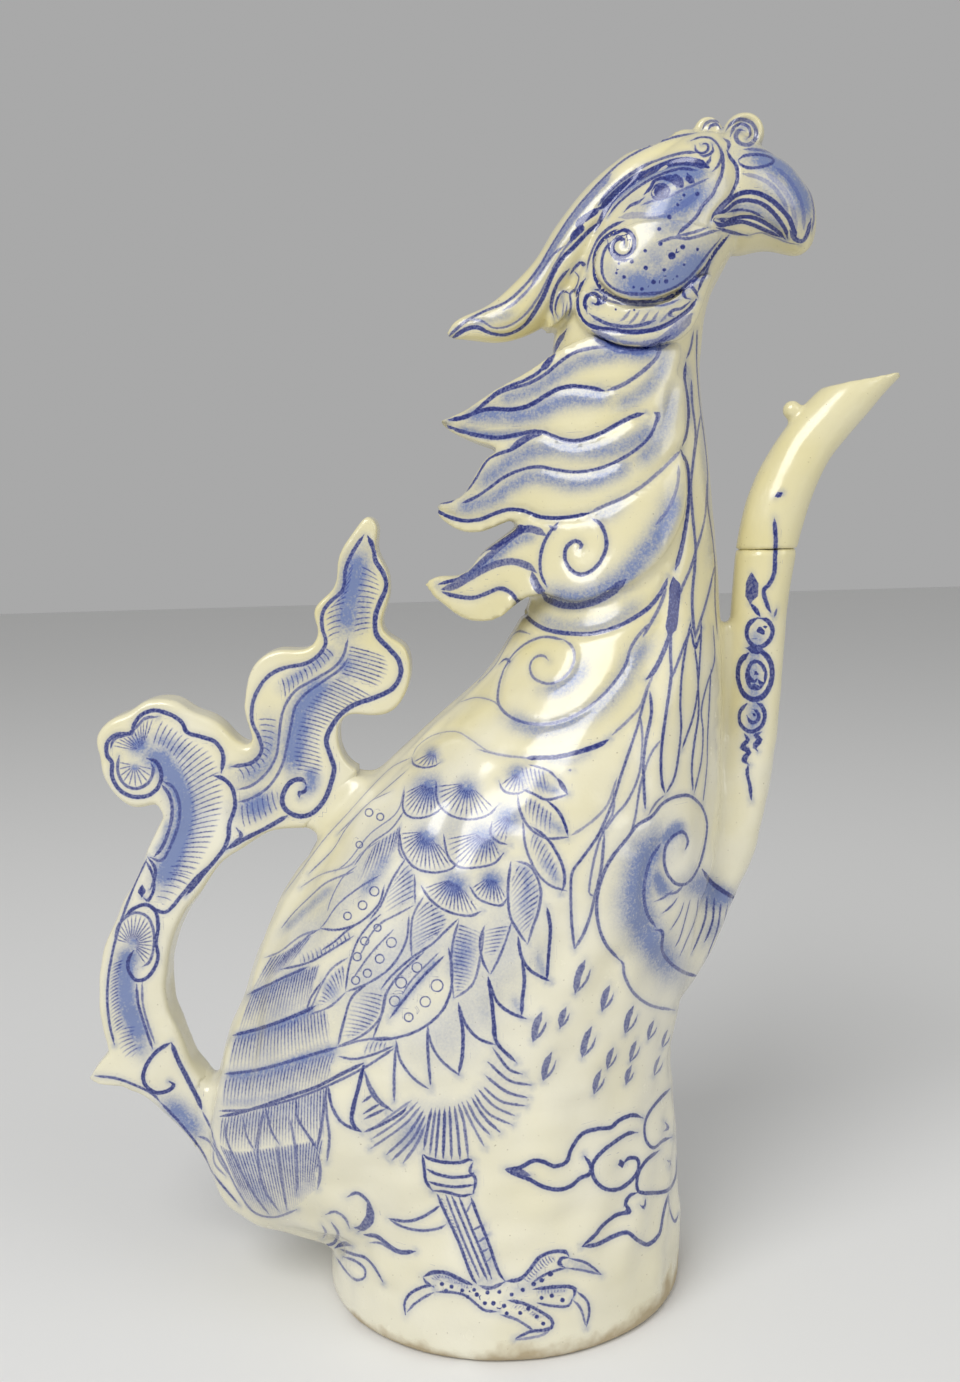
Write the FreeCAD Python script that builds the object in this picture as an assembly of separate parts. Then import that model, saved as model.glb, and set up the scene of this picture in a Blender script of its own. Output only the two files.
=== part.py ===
import FreeCAD, Part
import math
import os

# A ceramic ewer in the shape of a standing bird, in millimetres.
# Origin: centre of the foot's resting face. +Z up, +X the way the bird faces, +Y its left side.
# The body, neck and head are moulded in two halves that meet on the plane y = 0.
# Everything else is formed by hand and luted on where it touches them.

vec = FreeCAD.Vector

# Body, neck and head
wall = 4.0
head_wall = 3.5
foot_radius = 42.0
foot_height = 11.0
foot_wall = 6.0
foot_chamfer = 1.2
floor_thickness = 5.0
floor_lift = 3.5
rump_reach = 70.0
breast_reach = 54.0
body_half_width = 43.0
shoulder_height = 146.0
neck_height = 70.0
neck_back = 16.8
neck_half_width = 18.0
head_height = 50.0
head_front = 61.5
head_half_width = 19.6
crease_blend = 6.0

# Points round a half section or an oval, and how far a cutting shape runs past what it cuts
stations = 12
overrun = 3.0

# Filler hole in the crown, behind the curls
filler_radius = 6.0
filler_x = 40.0

# Beak, crest and crown curls
beak_start = 56.0
beak_length = 20.3
beak_bottom = 22.0
beak_depth = 28.0
beak_half_width = 12.5
crest_half_width = 9.0
crest_half_height = 6.0
curl_radius = 4.6
curl_half_width = 3.4
curl_rim_share = 0.30
curl_sunk_share = 0.62
curl_eye_share = 0.22
curl_ring_share = (0.36, 0.58)
curl_x = 60.4
curl_lift = 49.4
small_curl_radius = 3.1
small_curl_half_width = 2.6
small_curl_x = 52.4
small_curl_lift = 50.3

# Relief that is laid on the neck and head
mane_relief = 2.6
mane_reach = 15.5
mane_top_share = 1.12
cheek_relief = 2.6
collar_relief = 3.6
tuft_relief = 2.2

# Spout
spout_reach = 92.5
spout_rise = 214.5
spout_radius = 8.4
spout_wall = 2.3
mouth_wall = 1.8
spout_joint = 173.0
mouth_low_x = 78.0
mouth_low_z = 209.2
mouth_tip_x = 95.5
mouth_tip_z = 212.2
pellet_radius = 2.3
pellet_x = 71.0
pellet_z = 204.4
strip_half_width = 2.6
strip_start = 118.0
strip_end = 156.0

# Handle: it rises with the shoulder, and its rims are rounded by a share of its reach
handle_reach = 98.0
handle_rise_share = 1.26
handle_thickness = 11.0
rim_share = 0.0163
leaf_rim_share = 0.0081

# Sections of the body. Height is a share of the rise from foot to shoulder, the back and front
# are shares of the rump's and breast's reach, the width is a share of the half width, the fifth
# is the foot column's radius as a share of the foot's, and the last is where the section is
# widest, as a share of the breast's reach.
under_rump_share = [
    (0.000, 0.610, 0.660, 0.100, 1.00, 0.00),
    (0.022, 0.750, 0.670, 0.300, 1.00, 0.00),
    (0.048, 0.880, 0.680, 0.500, 1.00, 0.00),
    (0.085, 0.960, 0.700, 0.680, 1.00, 0.00),
    (0.135, 0.993, 0.710, 0.800, 0.99, 0.00),
]
body_share = [
    (0.205, 0.982, 0.730, 0.890, 0.97, -0.03),
    (0.300, 0.960, 0.745, 0.960, 0.92, -0.06),
    (0.375, 0.920, 0.770, 0.985, 0.80, -0.06),
    (0.455, 0.852, 0.805, 1.000, 0.00, -0.04),
    (0.535, 0.791, 0.860, 1.000, 0.00, 0.00),
    (0.620, 0.710, 0.930, 0.985, 0.00, 0.05),
    (0.700, 0.609, 0.972, 0.950, 0.00, 0.12),
    (0.775, 0.494, 0.985, 0.895, 0.00, 0.22),
    (0.850, 0.339, 0.990, 0.825, 0.00, 0.33),
    (0.925, 0.176, 0.997, 0.740, 0.00, 0.43),
    (1.000, 0.010, 1.000, 0.655, 0.00, 0.51),
]
# Sections of the neck: height, back as a share of the neck's back, front, half width
neck_share = [
    (0.115, 0.30, 0.998, 1.40),
    (0.235, 0.59, 0.993, 1.26),
    (0.370, 0.75, 0.987, 1.16),
    (0.550, 0.87, 0.970, 1.08),
    (0.750, 0.97, 0.945, 1.02),
    (0.900, 1.00, 0.925, 0.98),
    (1.000, 1.00, 0.925, 0.97),
]
# Sections of the head: height, back and front as shares of the head's front, half width
head_share = [
    (0.000, 0.273, 0.812, 0.893),
    (0.120, 0.280, 0.824, 0.915),
    (0.240, 0.300, 0.842, 0.960),
    (0.360, 0.332, 0.885, 1.000),
    (0.470, 0.370, 0.935, 1.000),
    (0.580, 0.415, 0.975, 0.970),
    (0.680, 0.468, 0.998, 0.915),
    (0.780, 0.535, 1.000, 0.820),
    (0.860, 0.602, 0.985, 0.690),
    (0.930, 0.682, 0.950, 0.520),
    (0.980, 0.765, 0.905, 0.310),
]
# Sections of the beak along its length: length, lower and upper edge, half width
beak_share = [
    (0.000, 0.071, 1.000, 1.000),
    (0.296, 0.057, 0.914, 0.960),
    (0.493, 0.071, 0.821, 0.848),
    (0.690, 0.036, 0.736, 0.688),
    (0.837, 0.025, 0.614, 0.496),
    (0.946, 0.086, 0.500, 0.304),
    (1.000, 0.193, 0.379, 0.112),
]
# Sections of the crest from its free tip to the crown: place as shares of the head's front and
# height, half height, half width, and the direction in degrees
crest_share = [
    (-0.114, 0.138, 0.13, 0.10, 20),
    (-0.041, 0.172, 0.50, 0.29, 22),
    (0.073, 0.192, 0.77, 0.51, 30),
    (0.187, 0.270, 0.97, 0.72, 40),
    (0.285, 0.388, 1.00, 0.89, 52),
    (0.382, 0.560, 1.00, 1.00, 52),
    (0.512, 0.732, 1.00, 1.00, 42),
    (0.667, 0.872, 0.87, 0.89, 24),
    (0.813, 0.936, 0.60, 0.61, 10),
]
# Sections of the spout along its axis: place as shares of its reach and rise, radius
spout_share = [
    (0.432, 0.354, 0.95),
    (0.503, 0.406, 1.00),
    (0.562, 0.462, 0.95),
    (0.619, 0.524, 0.85),
    (0.657, 0.601, 0.74),
    (0.675, 0.685, 0.75),
    (0.685, 0.746, 0.79),
    (0.703, 0.809, 0.82),
    (0.735, 0.860, 0.82),
    (0.785, 0.904, 0.77),
    (0.845, 0.938, 0.73),
    (0.914, 0.966, 0.65),
    (1.000, 1.000, 0.55),
]
# Outlines of the relief, as shares of the breast's reach and the neck's height
upper_lock_share = [
    [(0.815, 1.021), (0.656, 1.050), (0.496, 1.071), (0.296, 1.013), (0.172, 0.953),
     (0.070, 0.920), (-0.069, 0.859), (-0.174, 0.831)],
    [(-0.174, 0.831), (-0.150, 0.811), (-0.059, 0.769), (0.033, 0.743), (0.102, 0.737),
     (0.219, 0.771), (0.372, 0.747), (0.531, 0.784), (0.670, 0.821), (0.754, 0.890),
     (0.815, 1.021)],
]
middle_lock_share = [
    [(0.824, 0.929), (0.754, 0.880), (0.670, 0.811), (0.531, 0.774), (0.372, 0.737),
     (0.219, 0.761), (0.102, 0.727), (0.033, 0.711), (-0.011, 0.676), (-0.056, 0.623),
     (-0.094, 0.584), (-0.169, 0.570), (-0.222, 0.554)],
    [(-0.222, 0.554), (-0.183, 0.514), (-0.113, 0.477), (-0.041, 0.466), (0.072, 0.493),
     (0.211, 0.521), (0.398, 0.513), (0.546, 0.557), (0.693, 0.631), (0.796, 0.703),
     (0.826, 0.814), (0.824, 0.929)],
]
lower_lock_share = [
    [(0.813, 0.700), (0.693, 0.621), (0.546, 0.547), (0.398, 0.503), (0.211, 0.511),
     (0.148, 0.486), (0.054, 0.437), (-0.022, 0.393), (-0.067, 0.347), (-0.126, 0.326),
     (-0.213, 0.327), (-0.261, 0.303)],
    [(-0.261, 0.303), (-0.244, 0.276), (-0.181, 0.234), (-0.111, 0.193), (-0.030, 0.179),
     (0.044, 0.193), (0.111, 0.234), (0.231, 0.269), (0.341, 0.249), (0.537, 0.286),
     (0.691, 0.367), (0.794, 0.489), (0.813, 0.700)],
]
# Outlines of the relief on the head, as shares of the head's front and height
cheek_share = [
    [(0.847, 0.488), (0.738, 0.532), (0.616, 0.548), (0.512, 0.532), (0.433, 0.476),
     (0.407, 0.386), (0.447, 0.278), (0.527, 0.224), (0.631, 0.234), (0.735, 0.300),
     (0.805, 0.390), (0.847, 0.488)],
]
collar_share = [
    [(0.829, 0.332), (0.771, 0.310), (0.701, 0.240), (0.611, 0.192), (0.507, 0.186),
     (0.433, 0.232), (0.361, 0.284)],
    [(0.361, 0.284), (0.341, 0.192), (0.380, 0.112), (0.455, 0.052), (0.577, 0.024),
     (0.683, 0.050), (0.753, 0.120), (0.785, 0.218), (0.829, 0.332)],
]
tuft_share = [
    [(0.341, 0.306), (0.288, 0.286), (0.252, 0.224), (0.247, 0.152)],
    [(0.247, 0.152), (0.286, 0.168), (0.322, 0.222), (0.341, 0.306)],
]
# Outlines of the handle, as shares of its reach behind the origin and of its rise
leaf_share = [
    [(-0.288, 0.667), (-0.318, 0.679)],
    [(-0.318, 0.679), (-0.344, 0.692), (-0.358, 0.716), (-0.352, 0.738), (-0.326, 0.749),
     (-0.300, 0.749), (-0.276, 0.748), (-0.235, 0.751), (-0.202, 0.767), (-0.185, 0.790),
     (-0.183, 0.816), (-0.198, 0.835), (-0.229, 0.846), (-0.244, 0.856), (-0.243, 0.871),
     (-0.231, 0.887), (-0.223, 0.910), (-0.230, 0.929), (-0.248, 0.948), (-0.252, 0.964),
     (-0.248, 0.983), (-0.268, 0.995), (-0.294, 0.984), (-0.321, 0.965), (-0.342, 0.943),
     (-0.346, 0.924), (-0.356, 0.908), (-0.386, 0.893), (-0.404, 0.878), (-0.397, 0.861),
     (-0.398, 0.848), (-0.415, 0.836), (-0.445, 0.832), (-0.488, 0.833), (-0.523, 0.827),
     (-0.554, 0.811), (-0.570, 0.786), (-0.576, 0.763), (-0.569, 0.740), (-0.559, 0.721)],
    [(-0.559, 0.721), (-0.288, 0.667)],
]
scroll_share = [
    [(-0.559, 0.721), (-0.577, 0.714), (-0.602, 0.721), (-0.630, 0.738), (-0.666, 0.752),
     (-0.701, 0.760), (-0.732, 0.771), (-0.771, 0.776), (-0.814, 0.772), (-0.847, 0.761),
     (-0.884, 0.754), (-0.915, 0.742), (-0.930, 0.726), (-0.923, 0.705), (-0.919, 0.683),
     (-0.905, 0.662), (-0.883, 0.648), (-0.848, 0.638), (-0.816, 0.640), (-0.791, 0.642)],
    [(-0.791, 0.642), (-0.779, 0.628)],
    [(-0.779, 0.628), (-0.615, 0.576)],
    [(-0.615, 0.576), (-0.559, 0.721)],
]
bridge_share = [
    [(-0.559, 0.721), (-0.615, 0.576)],
    [(-0.615, 0.576), (-0.570, 0.588), (-0.519, 0.601), (-0.470, 0.605), (-0.435, 0.603),
     (-0.416, 0.596)],
    [(-0.416, 0.596), (-0.250, 0.540)],
    [(-0.250, 0.540), (-0.180, 0.640)],
    [(-0.180, 0.640), (-0.288, 0.667)],
    [(-0.288, 0.667), (-0.559, 0.721)],
]
strap_share = [
    [(-0.779, 0.628), (-0.795, 0.611), (-0.831, 0.575), (-0.845, 0.554), (-0.879, 0.525),
     (-0.911, 0.495), (-0.934, 0.466), (-0.951, 0.425), (-0.956, 0.398), (-0.955, 0.364),
     (-0.943, 0.318)],
    [(-0.943, 0.318), (-0.894, 0.266)],
    [(-0.894, 0.266), (-0.845, 0.248), (-0.809, 0.229), (-0.774, 0.208), (-0.745, 0.183),
     (-0.716, 0.150)],
    [(-0.716, 0.150), (-0.600, 0.150)],
    [(-0.600, 0.150), (-0.600, 0.263)],
    [(-0.600, 0.263), (-0.691, 0.263)],
    [(-0.691, 0.263), (-0.716, 0.277), (-0.746, 0.302), (-0.762, 0.329), (-0.778, 0.354),
     (-0.792, 0.378), (-0.795, 0.403), (-0.788, 0.442), (-0.765, 0.477), (-0.739, 0.503),
     (-0.704, 0.527), (-0.679, 0.543), (-0.653, 0.559), (-0.615, 0.576)],
    [(-0.615, 0.576), (-0.779, 0.628)],
]
spur_share = [
    [(-0.943, 0.318), (-0.977, 0.302), (-1.000, 0.287)],
    [(-1.000, 0.287), (-0.987, 0.279), (-0.942, 0.277), (-0.894, 0.266)],
    [(-0.894, 0.266), (-0.943, 0.318)],
]


def section_points(height, back, front, half_width, column, centre):
    """Half outline of a level section, from the front round the left side to the back."""
    points = []
    for i in range(stations + 1):
        turn = math.pi * i / stations
        reach = (front - centre) if i * 2 < stations else (centre - back)
        radius = 1 / math.hypot(math.sin(turn) / half_width, math.cos(turn) / reach)
        if column > 0:
            across = centre * math.sin(turn)
            ring = math.sqrt(column ** 2 - across ** 2) - centre * math.cos(turn)
            mix = max(crease_blend - abs(ring - radius), 0) / crease_blend
            radius = max(ring, radius) + mix * mix * crease_blend / 4
        y = radius * math.sin(turn) if 0 < i < stations else 0
        points.append(vec(centre + radius * math.cos(turn), y, height))
    return points


def smooth_side(points):
    """A curve through the points of a half section that leaves the median plane squarely."""
    step = 1 / (len(points) - 1)
    side = Part.BSplineCurve()
    side.interpolate(Points=points, Parameters=[i * step for i in range(len(points))],
                     InitialTangent=vec(0, points[1].y / step, 0),
                     FinalTangent=vec(0, -points[-2].y / step, 0))
    return side.toShape()


def loft_half(rows):
    wires = []
    for row in rows:
        points = section_points(*row)
        cut = Part.LineSegment(points[-1], points[0]).toShape()
        wires.append(Part.Wire([smooth_side(points), cut]))
    return Part.makeLoft(wires, True, False)


def mirrored(shape):
    return shape.mirror(vec(0, 0, 0), vec(0, 1, 0))


def body_rows(inset):
    """Rows of the body and neck, drawn in by the inset on every side."""
    rows = []
    rise = shoulder_height - foot_height
    if inset > 0:
        core = foot_radius / 2
        for height in (foot_height - overrun, foot_height):
            rows.append((height, -core, core, core, foot_radius - inset, 0))
    for share, back, front, width, column, centre in under_rump_share:
        rows.append((foot_height + share * rise + inset, inset - back * rump_reach,
                     front * breast_reach - inset, width * body_half_width - inset,
                     column * foot_radius - inset, centre * breast_reach))
    for share, back, front, width, column, centre in body_share:
        rows.append((foot_height + share * rise, inset - back * rump_reach,
                     front * breast_reach - inset, width * body_half_width - inset,
                     max(column * foot_radius - inset, 0), centre * breast_reach))
    for share, back, front, width in neck_share:
        rear = back * neck_back + inset
        fore = front * breast_reach - inset
        rows.append((shoulder_height + share * neck_height, rear, fore,
                     width * neck_half_width - inset, 0, (rear + fore) / 2))
    return rows


def head_rows(inset, drop):
    """Rows of the head, drawn in by the inset or swelled by a negative one."""
    rows = []
    base = shoulder_height + neck_height
    for share, back, front, width in head_share:
        rear = back * head_front + inset
        fore = front * head_front - inset
        row = (base + share * (head_height - inset), rear, fore,
               width * head_half_width - inset, 0, (rear + fore) / 2)
        if drop > 0 and not rows:
            rows.append((base - drop,) + row[1:])
        rows.append(row)
    return rows


def both_sides(half):
    return half.fuse(mirrored(half))


def slab(low, high):
    """A wide level slab between two heights."""
    reach = rump_reach + breast_reach
    return Part.makeBox(2 * reach, 2 * reach, high - low, vec(-reach, -reach, low))


def outline_face(runs, width, height, base):
    """A face on the plane y = 0 from runs of shares; a run of two points is straight."""
    edges = []
    for run in runs:
        points = [vec(x * width, 0, base + z * height) for x, z in run]
        if len(points) == 2:
            edges.append(Part.LineSegment(points[0], points[1]).toShape())
        else:
            curve = Part.BSplineCurve()
            curve.interpolate(Points=points)
            edges.append(curve.toShape())
    return Part.Face(Part.Wire(edges))


def prism(face, start, depth):
    moved = face.copy()
    moved.translate(vec(0, start, 0))
    return moved.extrude(vec(0, depth, 0))


def oval_wire(centre, side, up, half_side, half_up):
    """A closed smooth oval round a centre, in the plane of two directions."""
    points = []
    for i in range(stations):
        turn = 2 * math.pi * i / stations
        points.append(centre + side * (half_side * math.sin(turn)) + up * (half_up * math.cos(turn)))
    curve = Part.BSplineCurve()
    curve.interpolate(Points=points, PeriodicFlag=True)
    return Part.Wire(curve.toShape())


def beak_solid():
    wires = []
    base = shoulder_height + neck_height + beak_bottom
    for share, low, high, width in beak_share:
        x = beak_start + share * beak_length
        middle = base + (low + high) / 2 * beak_depth
        wires.append(oval_wire(vec(x, 0, middle), vec(0, 1, 0), vec(0, 0, 1),
                               width * beak_half_width, (high - low) / 2 * beak_depth))
    return Part.makeLoft(wires, True, False)


def crest_solid():
    wires = []
    base = shoulder_height + neck_height
    for x, z, tall, wide, degrees in crest_share:
        angle = math.radians(degrees)
        centre = vec(x * head_front, 0, base + z * head_height)
        up = vec(-math.sin(angle), 0, math.cos(angle))
        wires.append(oval_wire(centre, vec(0, 1, 0), up, wide * crest_half_width,
                               tall * crest_half_height))
    return Part.makeLoft(wires, True, False)


def curl_solid(x, lift, radius, half_width):
    """A rolled curl seen from the side: a rim round a sunk ring and a small eye."""
    rim = radius * curl_rim_share
    sunk = half_width * curl_sunk_share
    near, far = curl_ring_share
    profile = [vec(0, -half_width, 0), vec(radius * curl_eye_share, -half_width, 0),
               vec(radius * near, -sunk, 0), vec(radius * far, -sunk, 0),
               vec(radius - rim, -half_width, 0)]
    edges = [Part.LineSegment(a, b).toShape() for a, b in zip(profile, profile[1:])]
    edges.append(Part.Arc(profile[-1], vec(radius, 0, 0),
                          vec(radius - rim, half_width, 0)).toShape())
    back = [vec(p.x, -p.y, 0) for p in reversed(profile)]
    edges += [Part.LineSegment(a, b).toShape() for a, b in zip(back, back[1:])]
    edges.append(Part.LineSegment(back[-1], profile[0]).toShape())
    disc = Part.Face(Part.Wire(edges)).revolve(vec(0, 0, 0), vec(0, 1, 0), 360)
    disc.translate(vec(x, 0, shoulder_height + neck_height + lift))
    return disc


def mane_envelope():
    """Space round the neck that the locks of the mane fill, drawn out to a fin behind."""
    wires = []
    shoulder_width = body_share[-1][3] * body_half_width
    rows = [(0.0, 0.0, breast_reach, shoulder_width)]
    rows += [(share, back * neck_back, front * breast_reach, width * neck_half_width)
             for share, back, front, width in neck_share]
    rows.append((mane_top_share,) + rows[-1][1:])
    for share, back, front, width in rows:
        centre = (back + front) / 2
        points = []
        for i in range(stations + 1):
            turn = math.pi * i / stations
            fore = i * 2 < stations
            reach = (front - centre) if fore else (centre + mane_reach)
            side = math.sin(turn) if fore else math.sin(turn) ** 3
            y = (width + mane_relief) * side if 0 < i < stations else 0
            points.append(vec(centre + reach * math.cos(turn), y,
                              shoulder_height + share * neck_height))
        curve = Part.BSplineCurve()
        curve.interpolate(Points=points)
        cut = Part.LineSegment(points[-1], points[0]).toShape()
        wires.append(Part.Wire([curve.toShape(), cut]))
    return Part.makeLoft(wires, True, False)


def spout_solid(root_inset, tip_inset, start):
    """The spout's outside, or its bore where insets are given for its root and tip."""
    wires = []
    places = [vec(x * spout_reach, 0, z * spout_rise) for x, z, r in spout_share]
    last = len(places) - 1
    for i, (x, z, r) in enumerate(spout_share):
        along = (places[min(i + 1, last)] - places[max(i - 1, 0)]).normalize()
        centre = places[i]
        if i == 0:
            centre = centre - along * start
        inset = root_inset + (tip_inset - root_inset) * i / last
        ring = Part.Circle(centre, along, r * spout_radius - inset)
        wires.append(Part.Wire(ring.toShape()))
    return Part.makeLoft(wires, True, False)


def spout_cutter(above):
    """A block on one side of the joint across the spout, or above the mouth's slanted rim."""
    reach = 2 * spout_rise
    if above == "joint":
        anchor = vec(0, 0, spout_joint)
        angle = 0
    else:
        anchor = vec(mouth_tip_x, 0, mouth_tip_z)
        angle = math.degrees(math.atan2(mouth_tip_z - mouth_low_z, mouth_tip_x - mouth_low_x))
    block = Part.makeBox(2 * reach, 2 * reach, reach, vec(-reach, -reach, 0))
    block.rotate(vec(0, 0, 0), vec(0, 1, 0), -angle)
    block.translate(anchor)
    return block


def plate(runs, round_share):
    """A plate of the handle on the median plane, its curved rims rounded where asked."""
    face = outline_face(runs, handle_reach, handle_rise_share * shoulder_height, 0)
    block = prism(face, -handle_thickness / 2, handle_thickness)
    if round_share == 0:
        return block
    rims = [edge for edge in block.Edges
            if isinstance(edge.Curve, Part.BSplineCurve) and edge.BoundBox.YLength < overrun]
    return block.makeFillet(round_share * handle_reach, rims)


def one_solid(shape):
    """The largest solid of a cut shape, so that no sliver is kept."""
    return max(shape.Solids, key=lambda solid: solid.Volume)


def build():
    parts = {}
    outer = loft_half(body_rows(0))
    inner = loft_half(body_rows(wall))
    head_outer = loft_half(head_rows(0, 0))
    head_inner = loft_half(head_rows(head_wall, overrun))
    solid_body = both_sides(outer)
    solid_head = both_sides(head_outer)

    spout = spout_solid(0, 0, 0)
    bore = spout_solid(spout_wall, mouth_wall, spout_radius)
    filler = Part.makeCylinder(filler_radius, head_height,
                               vec(filler_x, 0, shoulder_height + neck_height + head_height / 2))

    shell = outer.cut(inner)
    body_top = slab(shoulder_height, shoulder_height + 2 * neck_height)
    left_body = one_solid(shell.cut(body_top).cut(bore))
    left_neck = one_solid(shell.common(body_top))
    left_head = one_solid(head_outer.cut(head_inner).cut(filler))
    parts["body_left"] = left_body
    parts["body_right"] = mirrored(left_body)
    parts["neck_left"] = left_neck
    parts["neck_right"] = mirrored(left_neck)
    parts["head_left"] = left_head
    parts["head_right"] = mirrored(left_head)

    ring = Part.makeCylinder(foot_radius, foot_height)
    ring = ring.makeChamfer(foot_chamfer, [edge for edge in ring.Edges
                                           if edge.BoundBox.ZMax < foot_height / 2])
    ring = ring.cut(Part.makeCylinder(foot_radius - foot_wall, foot_height))
    parts["foot_ring"] = ring
    parts["foot_floor"] = Part.makeCylinder(foot_radius - foot_wall, floor_thickness,
                                            vec(0, 0, floor_lift))

    beak = one_solid(beak_solid().cut(solid_head))
    parts["beak"] = beak
    crest = one_solid(crest_solid().cut(filler).cut(solid_head).cut(solid_body))
    parts["crest_lock"] = crest
    curl = curl_solid(curl_x, curl_lift, curl_radius, curl_half_width)
    curl = one_solid(curl.cut(solid_head).cut(beak).cut(crest))
    parts["crown_curl_front"] = curl
    small = curl_solid(small_curl_x, small_curl_lift, small_curl_radius, small_curl_half_width)
    small = one_solid(small.cut(solid_head).cut(crest).cut(curl).cut(beak))
    parts["crown_curl_rear"] = small

    pads = []
    reach = 2 * head_half_width
    base = shoulder_height + neck_height
    for name, runs, relief in (("throat_collar", collar_share, collar_relief),
                               ("cheek_lobe", cheek_share, cheek_relief),
                               ("ear_tuft", tuft_share, tuft_relief)):
        swelled = loft_half(head_rows(-relief, 0))
        pad = prism(outline_face(runs, head_front, head_height, base), 0, reach)
        pad = pad.common(swelled).cut(head_outer).cut(crest)
        for other in pads:
            pad = pad.cut(other)
        pad = one_solid(pad)
        pads.append(pad)
        parts[name + "_left"] = pad
        parts[name + "_right"] = mirrored(pad)

    envelope = mane_envelope()
    for name, runs in (("mane_lock_upper", upper_lock_share),
                       ("mane_lock_middle", middle_lock_share),
                       ("mane_lock_lower", lower_lock_share)):
        face = outline_face(runs, breast_reach, neck_height, shoulder_height)
        lock = prism(face, 0, reach).common(envelope).cut(outer).cut(head_outer).cut(crest)
        for pad in pads:
            lock = lock.cut(pad)
        parts[name] = both_sides(one_solid(lock))

    rim = spout_cutter("mouth")
    joint = spout_cutter("joint")
    tube = spout.cut(solid_body).cut(bore).cut(rim)
    parts["spout_lower"] = one_solid(tube.cut(joint))
    parts["spout_upper"] = one_solid(tube.common(joint))
    pellet = Part.makeSphere(pellet_radius, vec(pellet_x, 0, pellet_z))
    parts["spout_pellet"] = one_solid(pellet.cut(spout))
    strip = Part.makeBox(2 * spout_radius, 2 * strip_half_width, strip_end - strip_start,
                         vec(breast_reach - wall, -strip_half_width, strip_start))
    parts["spout_strip"] = one_solid(strip.cut(solid_body).cut(spout))

    for name, runs, round_share in (("handle_leaf", leaf_share, leaf_rim_share),
                                    ("handle_scroll", scroll_share, rim_share),
                                    ("handle_bridge", bridge_share, rim_share),
                                    ("handle_strap", strap_share, rim_share),
                                    ("handle_spur", spur_share, 0)):
        parts[name] = one_solid(plate(runs, round_share).cut(solid_body))
    return parts


os.makedirs("parts", exist_ok=True)
for name, solid in build().items():
    box = solid.BoundBox
    print(name, solid.isValid(), len(solid.Solids), len(solid.Faces), round(solid.Volume),
          "x", round(box.XMin, 1), round(box.XMax, 1), "z", round(box.ZMin, 1), round(box.ZMax, 1))
    solid.exportStep("parts/" + name + ".step")
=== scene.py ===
import math

import bmesh
import bpy
import numpy as np
from mathutils import Matrix, Vector
from mathutils.bvhtree import BVHTree
from mathutils.kdtree import KDTree


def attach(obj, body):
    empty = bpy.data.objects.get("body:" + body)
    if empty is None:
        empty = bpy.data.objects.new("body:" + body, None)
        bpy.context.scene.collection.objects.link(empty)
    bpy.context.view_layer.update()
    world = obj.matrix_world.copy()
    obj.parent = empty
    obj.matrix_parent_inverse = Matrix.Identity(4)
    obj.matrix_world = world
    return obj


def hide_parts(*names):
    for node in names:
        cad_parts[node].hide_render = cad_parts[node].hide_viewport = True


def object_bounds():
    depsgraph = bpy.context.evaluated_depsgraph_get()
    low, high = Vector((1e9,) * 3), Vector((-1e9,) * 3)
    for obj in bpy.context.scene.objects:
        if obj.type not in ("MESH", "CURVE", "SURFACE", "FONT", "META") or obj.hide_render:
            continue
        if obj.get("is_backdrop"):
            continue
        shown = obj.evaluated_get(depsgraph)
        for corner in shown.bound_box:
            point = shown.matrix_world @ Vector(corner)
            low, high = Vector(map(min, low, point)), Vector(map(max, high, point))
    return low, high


# A blue and white ewer shaped as a bird. Metres, origin at the centre of the foot's resting face.
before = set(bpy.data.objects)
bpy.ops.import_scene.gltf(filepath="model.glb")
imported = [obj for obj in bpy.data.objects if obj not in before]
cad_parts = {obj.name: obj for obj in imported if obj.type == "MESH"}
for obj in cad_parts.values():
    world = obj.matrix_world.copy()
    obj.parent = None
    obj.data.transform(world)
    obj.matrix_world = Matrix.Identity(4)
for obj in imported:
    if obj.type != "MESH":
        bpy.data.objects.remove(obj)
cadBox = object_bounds()
print("frame loaded")

# Camera: solved from the foot's ellipse and the level edges in the photograph
camera = {
    "frameWidth": 960, "frameHeight": 1382,
    "focal": 1450,  # pixels
    "place": (-0.00206, -0.3362, 0.1813),
    "pitch": -6.69, "roll": -1.65,
    "sensor": 36,  # millimetres
    "nearest": 0.01,
}


def cameraAxes():
    pitch = math.radians(camera["pitch"])
    roll = math.radians(camera["roll"])
    ahead = Vector((0, math.cos(pitch), math.sin(pitch)))
    level = Vector((1, 0, 0))
    lift = Vector((0, -math.sin(pitch), math.cos(pitch)))
    right = level * math.cos(roll) + lift * math.sin(roll)
    up = lift * math.cos(roll) - level * math.sin(roll)
    return right, up, ahead


def makeCamera():
    right, up, ahead = cameraAxes()
    lens = bpy.data.cameras.new("camera")
    lens.sensor_width = camera["sensor"]
    lens.lens = camera["focal"] / camera["frameHeight"] * camera["sensor"]
    lens.clip_start = camera["nearest"]
    view = bpy.data.objects.new("camera", lens)
    turn = Matrix((right, up, -ahead)).transposed().to_4x4()
    view.matrix_world = Matrix.Translation(camera["place"]) @ turn
    bpy.context.scene.collection.objects.link(view)
    bpy.context.scene.camera = view


def photoPlaces(points):
    # Pixel places in the photograph, and the depth, of points in metres
    right, up, ahead = (np.array(axis) for axis in cameraAxes())
    away = points - np.array(camera["place"])
    depth = away @ ahead
    across = camera["frameWidth"] / 2 + camera["focal"] * (away @ right) / depth
    down = camera["frameHeight"] / 2 - camera["focal"] * (away @ up) / depth
    return np.stack([across, down], 1), depth


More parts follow.
